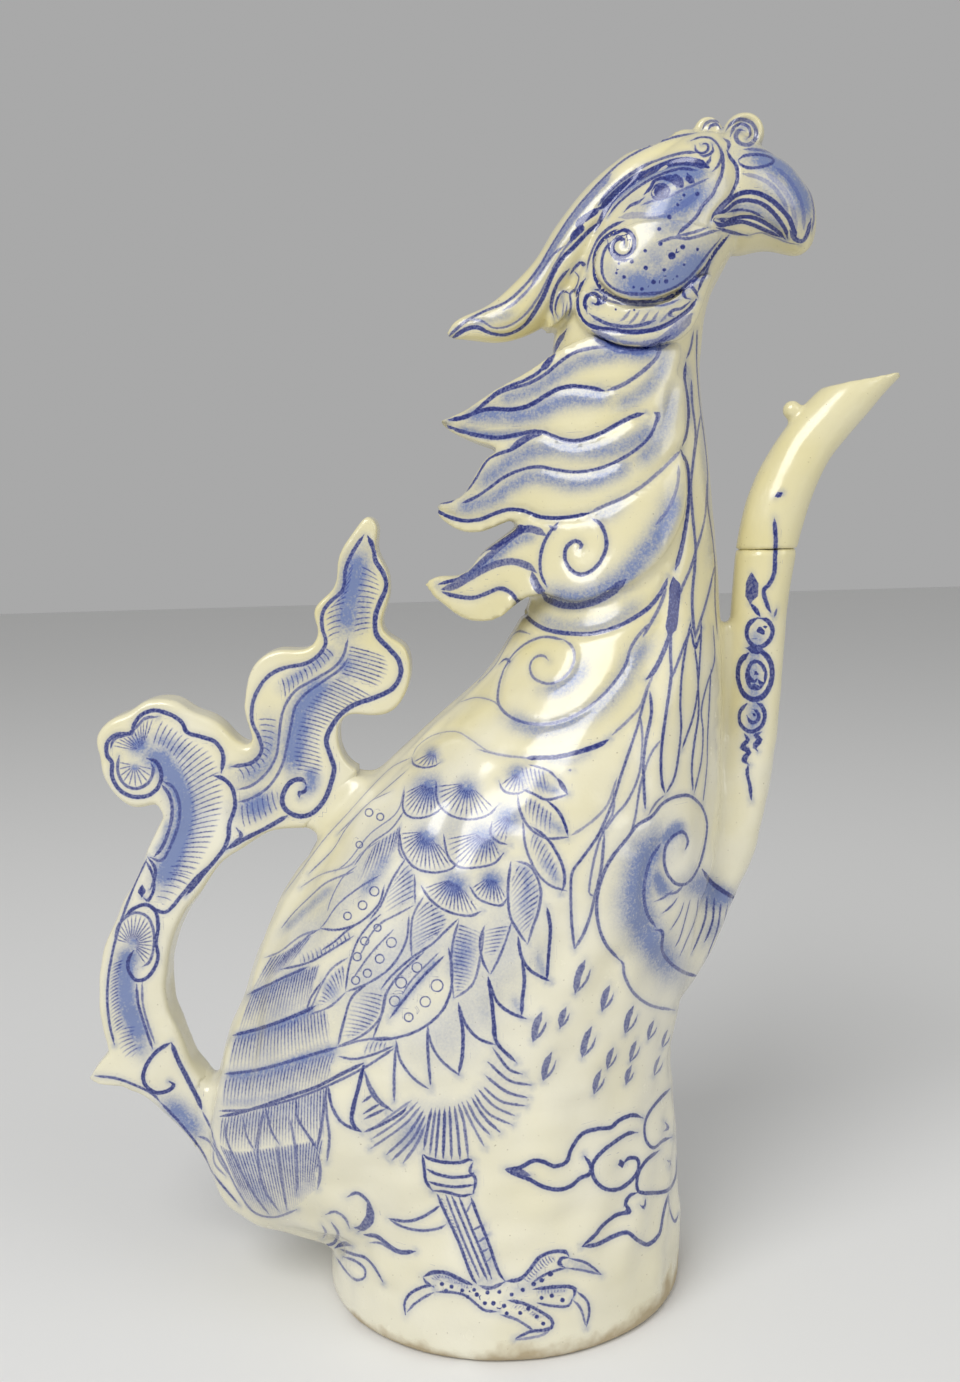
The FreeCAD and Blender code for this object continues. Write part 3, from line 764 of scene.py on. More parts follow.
# Brush lines read off the photograph. A sheet lies on a window of it: the window's corner in
# pixels of the frame, how many of the sheet's units go to a pixel, how wide its brush is, and
# over how many millimetres its bars fade. Points are pairs of numbers in a row. A line or wash is
# its width in millimetres, its strength and its points; a fan the count of its ribs, its focus
# and the points of its arc; a hatch the count of its bars and the points that their tops and feet
# lie on; a dot its centre and its radius in pixels; a ring or droplet its centre and its size in
# the sheet's units; a carving its width, its depth and the lines it follows.
headSheet = {"corner": (420, 90), "zoom": 3.136, "brush": 0.95, "fade": 3}
headSheet["lines"] = {
    "crestTop": (0.8, 0.8, 868, 134, 780, 152, 700, 184, 630, 226, 572, 280, 512, 345, 460, 412,
        412, 488, 370, 560, 322, 620, 268, 666, 200, 694, 140, 728, 86, 776),
    "crestTopWash": (1.6, 0.45, 600, 262, 540, 330, 480, 402, 432, 470, 392, 540, 350, 606),
    "crestFold1": (0.7, 0.75, 455, 488, 430, 505, 405, 530, 380, 570, 345, 620, 300, 665, 262, 690),
    "crestLower": (1.1, 0.95, 560, 415, 520, 452, 480, 495, 445, 530, 415, 580, 390, 640, 358, 698,
        322, 742, 272, 766, 222, 762, 180, 744, 140, 752, 96, 782),
    "crestMiddle": (0.6, 0.7, 500, 440, 452, 500, 412, 570, 372, 648, 332, 702, 282, 738, 232, 746,
        192, 724, 150, 722, 110, 752),
    "crestJag1": (1.7, 0.95, 566, 368, 545, 384, 520, 400, 498, 418, 505, 436, 486, 452, 470, 480),
    "browSweep": (2.3, 0.95, 905, 243, 862, 228, 812, 226, 760, 240, 710, 262, 662, 290, 622, 322,
        590, 352, 566, 372),
    "browUpper": (0.9, 0.8, 872, 196, 830, 196, 786, 206, 740, 222, 700, 240, 660, 264, 618, 294,
        582, 330, 560, 362),
    "browLower": (0.9, 0.9, 870, 252, 822, 246, 778, 256, 730, 276, 690, 300, 650, 330, 612, 366,
        590, 396),
    "browShadow": (1.3, 0.85, 690, 282, 650, 306, 616, 336, 584, 376, 566, 410, 550, 440),
    "browCurlOuter": (0.7, 0.85, 846, 160, 880, 148, 914, 152, 938, 178, 945, 208, 934, 238, 916,
        256),
    "browCurlInner": (0.7, 0.9, 862, 172, 866, 190, 882, 198, 900, 192, 904, 176, 894, 166, 884,
        172),
    "browCurlLower": (0.7, 0.85, 872, 196, 884, 206, 904, 204, 918, 190, 916, 170),
    "browCurlTail": (0.8, 0.8, 914, 202, 905, 225, 888, 238, 862, 236),
    "eyeRing": (0.8, 0.9, 726, 318, 738, 302, 760, 296, 776, 306, 780, 322, 766, 338, 744, 342, 728,
        332, 726, 318),
    "eyeLid": (1, 0.95, 700, 330, 722, 308, 734, 286, 762, 276, 796, 288, 806, 306),
    "eyeLidTail": (0.9, 0.85, 640, 382, 660, 362, 684, 352, 704, 336),
    "eyeMark1": (1.5, 0.9, 796, 262, 802, 284, 818, 298, 812, 276, 802, 264),
    "eyeMark2": (1.6, 0.9, 838, 262, 846, 280, 862, 292),
    "eyeMark3": (1.5, 0.85, 770, 268, 790, 278, 800, 300),
    "eyeUnder": (0.6, 0.7, 690, 362, 730, 348, 780, 334, 826, 312, 872, 292, 906, 276),
    "bandLeft": (0.9, 0.85, 945, 180, 950, 220, 946, 262, 930, 300, 914, 332, 886, 362, 868, 394,
        846, 418, 820, 440, 806, 456),
    "bandRight": (1, 0.9, 962, 188, 972, 212, 992, 240, 994, 280, 982, 312, 968, 338, 944, 362, 920,
        392, 912, 412),
    "bandTop": (0.9, 0.8, 950, 150, 968, 166, 966, 190),
    "bandFoot": (0.7, 0.8, 806, 456, 836, 452, 872, 442, 904, 430),
    "beakSpotUpper": (0.8, 0.85, 998, 218, 1018, 206, 1052, 202, 1086, 206, 1108, 218, 1100, 232,
        1066, 242, 1030, 244, 1004, 232, 998, 218),
    "beakEdge": (0.8, 0.7, 1012, 186, 1052, 186, 1100, 196, 1150, 222, 1196, 270, 1226, 330, 1236,
        392, 1228, 446),
    "beakShade1": (1.2, 0.45, 1110, 240, 1150, 272, 1184, 322, 1202, 382, 1204, 440),
    "beakShade2": (1.2, 0.4, 1080, 256, 1124, 292, 1160, 344, 1176, 400, 1180, 440),
    "beakShade3": (1, 0.5, 1010, 262, 1060, 274, 1104, 300, 1138, 344, 1156, 392),
    "beakTip": (1.4, 0.85, 1160, 440, 1176, 468, 1200, 474, 1216, 448, 1226, 404),
    "mouthTop": (1.2, 1, 918, 398, 940, 376, 966, 350, 996, 328, 1030, 320, 1066, 326, 1100, 344,
        1132, 372, 1158, 404, 1172, 440, 1180, 468),
    "mouthUpper": (1.1, 1, 930, 390, 960, 378, 986, 356, 1016, 346, 1054, 350, 1090, 368, 1122, 402,
        1146, 440, 1152, 466),
    "mouthMiddle": (1.3, 1, 926, 404, 956, 408, 980, 404, 1010, 396, 1050, 400, 1090, 420, 1124,
        444, 1146, 468),
    "mouthLower": (1.2, 0.95, 920, 410, 944, 424, 976, 418, 1012, 414, 1050, 426, 1090, 444, 1130,
        462),
    "mouthUnder": (0.9, 0.9, 930, 432, 962, 442, 1000, 452, 1030, 456),
    "mouthInner": (0.8, 0.9, 962, 384, 1000, 376, 1040, 382, 1080, 402),
    "chinLine": (0.6, 0.6, 1030, 456, 1070, 448, 1110, 462, 1150, 478, 1190, 486),
    "cheekOuter": (1.3, 1, 640, 440, 600, 452, 566, 480, 548, 520, 546, 566, 558, 604, 584, 634,
        628, 654, 680, 662, 740, 658, 800, 640, 850, 602, 892, 556, 922, 512, 948, 478, 968, 456),
    "cheekInner": (0.9, 0.85, 606, 470, 580, 500, 570, 540, 574, 584, 596, 616, 640, 636, 700, 640,
        760, 634, 812, 612, 856, 576, 896, 524, 930, 482, 944, 464),
    "cheekTop": (0.8, 0.75, 742, 478, 770, 470, 800, 462, 840, 466, 880, 456, 916, 444, 940, 440),
    "cheekSpiral": (1, 1, 606, 458, 632, 440, 658, 446, 672, 470, 668, 500, 648, 520, 622, 520, 606,
        502, 608, 480, 624, 466, 640, 472, 640, 488),
    "cheekSpiralOuter": (0.7, 0.9, 588, 470, 594, 500, 612, 526, 640, 534, 664, 528),
    "sideLine": (1, 0.9, 640, 410, 600, 428, 566, 456, 545, 490, 530, 530, 524, 562),
    "faceFade": (1.6, 0.4, 624, 400, 680, 392, 740, 396, 790, 380, 840, 350, 880, 320),
    "tuftLeft": (0.9, 0.9, 470, 560, 450, 580, 432, 606, 418, 640, 412, 680, 420, 716),
    "tuftRight": (0.9, 0.9, 470, 640, 452, 632, 434, 652, 424, 690, 432, 712),
    "tuftInner": (0.7, 0.85, 486, 570, 498, 590, 486, 624, 470, 640, 474, 676, 466, 708),
    "tuftHatch1": (0.5, 0.7, 452, 660, 446, 708),
    "tuftHatch2": (0.5, 0.7, 462, 664, 456, 706),
    "tuftTop": (0.8, 0.9, 470, 580, 486, 556, 506, 540, 520, 548),
    "collarLeft": (1.2, 1, 520, 590, 502, 620, 494, 660, 500, 700, 520, 730, 556, 746, 600, 752,
        650, 758, 706, 756, 760, 742, 806, 716, 846, 684, 868, 654),
    "collarCurl": (1.1, 1, 524, 700, 516, 668, 526, 644, 548, 640, 562, 654, 556, 672, 540, 668),
    "collarCurl2": (1, 0.95, 556, 676, 578, 662, 580, 640, 562, 628, 548, 626),
    "collarInner": (0.9, 0.85, 530, 700, 552, 716, 590, 734, 640, 742, 690, 738, 740, 722),
    "collarShadow": (3, 0.55, 540, 756, 590, 790, 640, 806, 700, 808, 760, 790, 816, 744, 852, 704),
    "collarShadowLine": (1.2, 0.9, 560, 768, 610, 800, 670, 812, 730, 800, 790, 768),
    "collarRight": (0.9, 0.9, 874, 654, 860, 626, 840, 612, 826, 630, 832, 650, 848, 656),
    "collarRight2": (0.9, 0.9, 868, 640, 884, 600, 900, 566, 912, 540),
    "collarRight3": (0.8, 0.85, 848, 662, 822, 684, 796, 690, 780, 704, 796, 712),
    "collarHatch1": (0.7, 0.6, 660, 690, 644, 712, 626, 726),
    "collarHatch2": (0.7, 0.6, 690, 690, 672, 716, 652, 738),
    "collarHatch3": (0.7, 0.6, 720, 692, 704, 716, 684, 742),
    "collarHatch4": (0.7, 0.6, 750, 692, 734, 716, 716, 740),
    "collarHatch5": (0.7, 0.6, 776, 700, 766, 716, 750, 730),
    "collarRim": (0.7, 0.7, 548, 640, 600, 664, 660, 672, 720, 676, 772, 672, 816, 656),
    "curlFront": (1.1, 0.75, 958, 130, 976, 104, 1006, 92, 1036, 100, 1054, 126, 1050, 156, 1028,
        172, 1000, 164, 990, 144, 1002, 126, 1020, 128),
    "curlFrontIn": (0.8, 0.8, 972, 148, 984, 118, 1006, 106, 1030, 116, 1036, 140, 1024, 154),
    "curlRear": (0.8, 0.7, 884, 126, 898, 104, 922, 96, 944, 104, 950, 120),
    "curlRearIn": (0.8, 0.8, 902, 128, 912, 112, 932, 108, 944, 124),
}
headSheet["washes"] = {
    "faceWash": (7.5, 0.85, 690, 362, 760, 372, 830, 350, 890, 320, 930, 296),
    "faceWashLow": (7, 0.5, 690, 400, 770, 420, 850, 400, 890, 420),
    "eyeWash": (4.5, 0.9, 740, 300, 800, 268, 860, 258, 910, 262),
    "cheekFill": (10, 0.5, 640, 540, 740, 540, 840, 520),
    "beakFill": (11, 0.5, 1040, 240, 1110, 290, 1160, 370),
    "cheekWash": (8, 0.95, 612, 570, 660, 610, 740, 620, 810, 590, 870, 540, 910, 490),
    "cheekWashUpper": (8, 0.4, 660, 480, 740, 520, 830, 500, 900, 460),
    "beakWash": (7, 0.85, 1010, 200, 1080, 214, 1150, 252, 1196, 330, 1212, 420),
    "beakWashLow": (5, 0.45, 1080, 290, 1130, 330, 1160, 400),
    "mouthWash": (3.6, 0.5, 950, 390, 1020, 370, 1090, 400, 1140, 450),
    "crestWash": (3.2, 0.5, 600, 262, 540, 330, 480, 402, 432, 470, 392, 540, 350, 606),
    "crestWashLow": (2.6, 0.4, 300, 700, 220, 720, 150, 740),
    "browWash": (3.4, 0.85, 566, 372, 620, 330, 700, 276, 790, 236, 880, 240),
    # Painted shadow under the collar, laid in the wash blue
    "collarWash": (3.4, 0.6, 540, 762, 600, 800, 680, 812, 760, 790, 830, 740),
    "collarWashIn": (3, 0.4, 520, 720, 600, 742, 700, 744, 800, 700),
    "jawWash": (4, 0.4, 880, 560, 900, 520, 930, 480),
    "curlWash": (2.6, 0.45, 990, 144, 1016, 112, 1040, 130),
    "tuftWash": (2.6, 0.45, 440, 620, 450, 680),
}
headSheet["dots"] = [
    754, 320, 6.4, 808, 360, 1.6, 782, 398, 2.4, 828, 330, 1.6, 870, 326, 2.2, 750, 436, 2, 754,
    482, 2.2, 706, 504, 1.8, 824, 492, 2.4, 790, 520, 3.6, 870, 500, 1.6, 664, 538, 2, 624, 544,
    1.2, 616, 574, 1.4, 640, 586, 1.8, 708, 558, 2.2, 766, 564, 1.8, 828, 548, 1.4, 732, 602, 2.4,
    772, 600, 2.2, 696, 624, 2, 670, 618, 1.4, 614, 688, 1, 672, 690, 1, 512, 546, 2.2, 806, 584,
    1.4,
]
headSheet["carving"] = [
    (1.2, 0.5, "cheekOuter"),
    (1.6, 0.55, "browSweep"),
    (1, 0.5, "mouthMiddle"),
    (1.2, 0.45, "crestLower"),
    (0.8, 0.3, "cheekSpiral"),
    (0.9, 0.3, "bandLeft", "bandRight"),
    (1, 0.4, "collarLeft"),
    (1.2, 0.3, "crestMiddle"),
]
maneSheet = {"corner": (400, 330), "zoom": 4.126, "brush": 0.85, "fade": 3}
maneSheet["lines"] = {
    "lockOneEdge": (1, 0.9, 690, -6, 655, 44, 622, 104, 580, 166, 522, 204, 452, 230, 392, 260, 342,
        306, 302, 342, 252, 360, 196, 370),
    "lockOneShade": (2.2, 0.9, 684, 4, 648, 60, 610, 130, 576, 172),
    "lockOneA": (0.95, 0.85, 862, 68, 792, 74, 722, 92, 662, 130, 602, 180, 532, 220, 452, 242, 402,
        264, 352, 302, 312, 336),
    "lockOneB": (1.2, 0.95, 848, 252, 790, 240, 722, 232, 662, 240, 602, 270, 532, 312, 462, 328,
        382, 325, 322, 336, 272, 358, 206, 374),
    "lockOneC": (1.1, 0.75, 1076, 50, 1062, 108, 1022, 152, 962, 200, 902, 234, 850, 250),
    "lockOneLower": (1.3, 0.9, 168, 386, 232, 412, 322, 434, 402, 444, 472, 434, 540, 420, 592, 422,
        642, 442, 702, 458, 762, 452, 832, 425, 902, 386, 962, 356, 1012, 342),
    "lockTwoEdge": (1, 0.9, 600, 424, 540, 444, 470, 488, 404, 512, 366, 530, 338, 566, 312, 612,
        272, 664, 222, 700, 156, 718),
    "lockTwoShade": (1.6, 0.8, 600, 420, 550, 432, 500, 456, 456, 486),
    "lockTwoA": (0.9, 0.85, 1062, 340, 1050, 400, 1020, 452, 962, 502, 882, 548, 802, 576, 722, 586,
        642, 576, 572, 564, 502, 576, 432, 606, 372, 650, 312, 690, 252, 716),
    "lockTwoHook": (1.4, 0.75, 1050, 340, 1066, 350, 1060, 384),
    "lockTwoLower": (1.15, 0.95, 136, 736, 192, 766, 262, 786, 332, 781, 392, 757, 452, 740, 512,
        746, 572, 769, 642, 776, 722, 769, 782, 755),
    "lockTwoRight": (1, 0.65, 782, 755, 852, 722, 922, 692, 1002, 642, 1062, 592, 1112, 545, 1160,
        494),
    "lockTwoSplit": (1.2, 0.75, 614, 806, 636, 820, 650, 800),
    "lockThreeShade": (2.6, 0.95, 530, 812, 482, 828, 424, 866, 356, 908),
    "lockThreeEdge": (1.1, 0.9, 356, 908, 316, 942, 284, 986, 236, 1024, 156, 1050),
    "lockThreePatch": (2, 0.75, 604, 850, 562, 826, 512, 822, 462, 852, 402, 902, 342, 952, 282,
        1002, 214, 1042),
    "lockThreeB": (1.9, 0.75, 562, 1000, 530, 974, 472, 956, 412, 962, 352, 986, 292, 1020, 232,
        1054, 172, 1070),
    "lockThreeLower": (1.2, 0.85, 172, 1080, 222, 1096, 302, 1105, 362, 1085, 412, 1066, 452, 1080,
        482, 1112, 502, 1152, 542, 1200, 602, 1235, 682, 1251, 782, 1254, 882, 1230, 962, 1190,
        1032, 1140, 1082, 1072, 1106, 1020),
    "curlOne": (1.1, 0.85, 738, 906, 752, 888, 726, 870, 696, 886, 680, 920, 686, 960, 710, 994,
        752, 1010, 802, 985, 836, 940, 852, 890, 846, 840, 826, 800, 790, 776),
    "curlOneLeft": (1, 0.85, 656, 790, 616, 838, 590, 890, 578, 950, 582, 1010, 606, 1060),
    "curlOneUnder": (2.5, 0.8, 545, 998, 562, 1050, 602, 1098, 662, 1128, 732, 1134, 802, 1115, 872,
        1080, 932, 1030),
    "crescentOne": (1, 0.55, 1150, 556, 1148, 620, 1130, 690, 1100, 750, 1054, 806),
    "neckA": (1.3, 0.9, 1180, 130, 1174, 200, 1186, 280, 1190, 350, 1180, 430, 1162, 486),
    "neckB": (1.4, 0.95, 1158, 494, 1184, 560, 1190, 640, 1186, 740, 1172, 840, 1156, 920, 1136,
        990),
    "neckDrip": (3.2, 1, 1128, 1022, 1136, 1062, 1132, 1130, 1124, 1200, 1112, 1262),
    "neckC": (0.8, 0.85, 1226, 0, 1224, 100, 1228, 200, 1240, 330, 1260, 480, 1270, 600, 1270, 720,
        1290, 860, 1300, 980, 1300, 1120, 1310, 1260),
    "neckD": (0.9, 0.8, 1212, 0, 1200, 70, 1180, 124),
    "neckE": (1, 0.8, 1202, 200, 1206, 300, 1216, 380, 1220, 440, 1210, 540, 1200, 640, 1206, 740,
        1216, 850, 1220, 900, 1216, 980, 1206, 1100, 1210, 1200, 1220, 1279),
    "neckF": (0.8, 0.75, 1242, 340, 1226, 440, 1210, 560),
    "neckG": (0.9, 0.75, 1268, 610, 1260, 760, 1240, 850, 1224, 900, 1200, 980, 1164, 1062, 1150,
        1110),
    "neckH": (0.9, 0.75, 1302, 960, 1270, 1100, 1240, 1200, 1214, 1279),
    "neckI": (0.9, 0.7, 1100, 1060, 1076, 1130, 1040, 1200, 1000, 1270),
}
maneSheet["washes"] = {
    "lockOneWashA": (3.4, 0.61, 930, 96, 820, 112, 722, 142, 642, 190, 560, 244, 472, 272, 402,
        296),
    "lockOneWashB": (4.4, 0.7, 880, 262, 800, 276, 720, 282, 640, 300, 560, 340, 480, 356, 400, 352,
        320, 352, 260, 368),
    "lockOneWashC": (3.6, 0.55, 1104, 70, 1084, 150, 1034, 226, 960, 282, 880, 318),
    "lockOneWashD": (2.2, 0.72, 240, 404, 340, 430, 430, 436, 520, 428),
    "lockTwoWashA": (4.6, 0.61, 1050, 370, 1000, 440, 920, 480, 830, 496, 740, 496, 650, 486, 570,
        492, 490, 522, 420, 566, 360, 616, 310, 660),
    "lockTwoWashB": (3.8, 0.65, 960, 548, 880, 590, 800, 620, 710, 632, 620, 612, 540, 606, 460,
        640, 390, 690, 310, 722, 220, 744),
    "lockTwoWashC": (4.6, 0.51, 1130, 240, 1110, 330, 1080, 420, 1030, 500, 960, 556),
    "lockThreeWashA": (2.6, 0.65, 560, 846, 480, 872, 400, 930, 330, 980, 250, 1030),
    "curlOneWash": (5.2, 0.72, 600, 1080, 700, 1112, 800, 1094, 900, 1040, 980, 960, 1050, 870,
        1110, 770, 1140, 660),
    "curlOneWashUpper": (3.6, 0.46, 780, 780, 850, 760, 900, 720, 930, 690),
    "lowerWash": (4, 0.43, 560, 1180, 660, 1220, 780, 1222, 900, 1190, 1000, 1120),
    # Painted shadow under the collar, laid in the wash blue
    "underCollar": (4.4, 0.85, 826, 26, 880, 66, 960, 84, 1040, 80, 1100, 56),
    "neckWash": (4, 0.4, 1180, 120, 1196, 260, 1200, 420),
    "neckWashFront": (4, 0.3, 1240, 120, 1250, 400, 1270, 700, 1290, 1000),
}
maneSheet["carving"] = [
    (1.9, 1, "lockOneLower", "lockTwoLower"),
    (1.9, 0.9, "lockTwoRight"),
    (1.6, 0.7, "lockThreeLower"),
    (1.4, 0.4, "lockThreeB"),
    (1.8, 0.6, "curlOneUnder"),
    (1.1, 0.45, "curlOne"),
    (1.7, 0.5, "lockOneB"),
    (1.6, 0.45, "lockTwoA"),
    (1.6, 0.5, "lockOneC"),
    (2.6, 0.5, "lockOneWashC", "lockTwoWashC"),
    (1.2, 0.4, "neckB"),
]
breastSheet = {"corner": (460, 620), "zoom": 3.5625, "brush": 0.72, "fade": 3}
breastSheet["lines"] = {
    "curlTwo": (0.9, 0.65, 316, 146, 300, 128, 270, 132, 250, 160, 258, 200, 290, 222, 330, 226,
        370, 206, 400, 166, 408, 122, 395, 90, 368, 70),
    "curlTwoOuter": (1, 0.7, 368, 70, 302, 60, 242, 80, 192, 120, 160, 170, 140, 230, 136, 290, 160,
        330, 210, 360, 280, 372, 350, 364, 420, 335, 490, 286, 550, 222, 590, 160, 606, 104, 640,
        50, 690, 0),
    "curlTwoBack": (0.8, 0.6, 250, 50, 212, 40, 186, 56, 160, 100, 128, 156, 84, 206, 40, 240, 0,
        276),
    "curlTwoNip": (0.9, 0.8, 136, 160, 160, 140, 180, 148, 168, 160),
    "shoulderLine": (0.6, 0.5, 0, 292, 60, 276, 120, 290, 142, 314),
    "breastLine": (0.7, 0.55, 60, 460, 150, 482, 250, 493),
    "breastLineEnd": (1.5, 0.95, 230, 492, 300, 490, 350, 487, 430, 468, 500, 444, 532, 424),
    "crescentTwo": (0.9, 0.6, 690, 190, 662, 256, 640, 312, 590, 366, 540, 412),
    "crescentTwoEdge": (1.5, 0.9, 770, 0, 744, 64, 722, 120, 690, 184, 660, 214),
    "breastSmudge": (0.8, 0.5, 384, 536, 400, 534),
    "vOne": (0.9, 0.8, 672, 236, 655, 290, 632, 380, 602, 470, 575, 550, 547, 640, 518, 712, 490,
        772, 440, 842, 400, 900, 395, 980, 398, 1080, 408, 1172),
    "vOneBack": (1, 0.75, 408, 1172, 440, 1118, 465, 1050, 480, 984, 504, 880, 514, 760),
    "vTwo": (0.8, 0.7, 546, 600, 546, 680, 515, 742, 492, 800, 472, 880, 460, 970, 474, 982),
    "vTwoLeft": (0.8, 0.55, 560, 560, 530, 650, 490, 700, 440, 740, 392, 770),
    "vThree": (1, 0.85, 676, 250, 682, 330, 664, 420, 654, 500, 655, 580, 660, 676),
    "vThreeBack": (0.8, 0.7, 640, 330, 650, 420, 640, 540, 600, 640, 550, 700, 518, 750),
    "vFour": (0.8, 0.7, 722, 420, 684, 470, 660, 530, 640, 600, 625, 700, 602, 770, 550, 830, 514,
        880),
    "vFive": (1.1, 0.9, 750, 30, 750, 120, 752, 200, 736, 320, 722, 420, 716, 500, 720, 580, 732,
        622),
    "vFiveBack": (0.9, 0.85, 732, 622, 764, 560, 780, 470, 788, 380, 785, 300, 790, 200, 804, 100,
        824, 0),
    "vFiveLink": (0.8, 0.7, 732, 622, 700, 650, 668, 700),
    "vSix": (0.9, 0.85, 752, 214, 776, 150, 802, 80, 830, 20),
    "vSeven": (0.9, 0.85, 860, 0, 858, 80, 852, 180, 846, 260, 832, 340, 812, 400, 790, 462),
    "vEight": (0.9, 0.85, 836, 96, 846, 180, 850, 328, 836, 430, 826, 520, 830, 612),
    "vEightTop": (0.9, 0.9, 822, 20, 838, 100, 862, 30),
    "vNine": (0.8, 0.8, 902, 20, 907, 140, 880, 230, 860, 320, 866, 400, 860, 500, 834, 620),
    "vTen": (0.8, 0.8, 894, 170, 888, 300, 882, 420, 880, 520, 866, 650),
    "scroll": (1.1, 0.8, 800, 822, 812, 790, 796, 756, 764, 766, 736, 800, 726, 850, 736, 900, 770,
        940, 810, 936, 845, 890, 868, 820, 880, 740, 872, 690, 850, 652, 812, 625, 762, 632, 720,
        655, 682, 700, 630, 732, 600, 772, 546, 840, 508, 910, 488, 990, 490, 1070, 516, 1150, 570,
        1214),
    "scrollFoot": (1, 0.7, 562, 1208, 580, 1222, 588, 1272, 622, 1332, 682, 1374, 765, 1390),
    "combTop": (1.5, 0.95, 862, 886, 892, 932, 940, 968, 985, 996),
    "combSide": (1.2, 0.7, 985, 996, 962, 1070, 930, 1150, 892, 1208),
    "combFoot": (1.2, 0.85, 690, 1104, 722, 1112, 720, 1176, 750, 1222, 800, 1256, 850, 1270),
    "scrollInner": (1.2, 0.75, 718, 792, 680, 850, 660, 920, 655, 990, 668, 1050, 700, 1098),
    "comb1": (0.7, 0.8, 778, 985, 752, 1020, 716, 1048),
    "comb2": (0.7, 0.8, 800, 1000, 782, 1052, 750, 1104),
    "comb3": (0.8, 0.85, 822, 990, 804, 1060, 784, 1130, 764, 1168),
    "comb4": (0.8, 0.85, 850, 984, 840, 1060, 808, 1140, 784, 1196),
    "comb5": (0.8, 0.85, 880, 984, 874, 1060, 850, 1130, 824, 1190),
    "comb6": (0.8, 0.85, 906, 990, 900, 1070, 884, 1120, 870, 1150),
    "comb7": (0.8, 0.85, 930, 1002, 920, 1090, 900, 1150, 878, 1206),
    "comb8": (0.8, 0.8, 955, 1010, 938, 1090, 916, 1146),
    "comb9": (0.7, 0.7, 760, 962, 724, 990, 690, 1004),
    "comb10": (0.9, 0.7, 800, 940, 770, 970, 730, 976),
}
breastSheet["washes"] = {
    "curlTwoWash": (4.2, 0.65, 446, 136, 430, 180, 400, 214, 352, 246, 292, 250),
    "curlTwoWashLow": (4.4, 0.55, 160, 344, 280, 390, 400, 362, 500, 304, 574, 222, 620, 140, 680,
        60),
    "scrollWash": (8.5, 0.81, 748, 768, 700, 790, 660, 850, 640, 930, 628, 1010, 648, 1090, 690,
        1160, 740, 1230, 790, 1276),
    "combWash": (6, 0.81, 790, 950, 860, 950, 900, 990, 960, 1020),
    "combWashLow": (5.5, 0.49, 940, 1040, 910, 1100, 870, 1160),
    "scrollWashLow": (5, 0.52, 700, 1120, 730, 1190, 780, 1250),
    "breastWash": (2.2, 0.33, 300, 500, 400, 500, 480, 460),
    "combWashTop": (4.4, 0.95, 840, 900, 880, 950, 930, 980, 985, 1006),
    "scrollHollow": (3.6, 0.9, 700, 812, 740, 770, 776, 744, 800, 770),
    "scrollBack": (4, 0.9, 690, 880, 720, 950, 760, 980),
}
breastSheet["droplets"] = [
    410, 1332, 121, 506, 1393, 93, 356, 1454, 75, 260, 1503, 107, 588, 1475, 100, 670, 1496, 71,
    435, 1560, 110, 296, 1642, 100, 524, 1600, 78, 477, 1689, 86, 606, 1575, 78, 720, 1525, 64, 691,
    1624, 71, 591, 1653, 64,
]
breastSheet["carving"] = [
    (1.3, 0.45, "curlTwo"),
    (1.8, 0.45, "curlTwoOuter"),
    (2, 0.6, "scrollInner"),
    (1.4, 0.4, "scroll", "combTop"),
]
wingSheet = {"corner": (220, 700), "zoom": 3.7325, "brush": 0.62, "fade": 0.8}
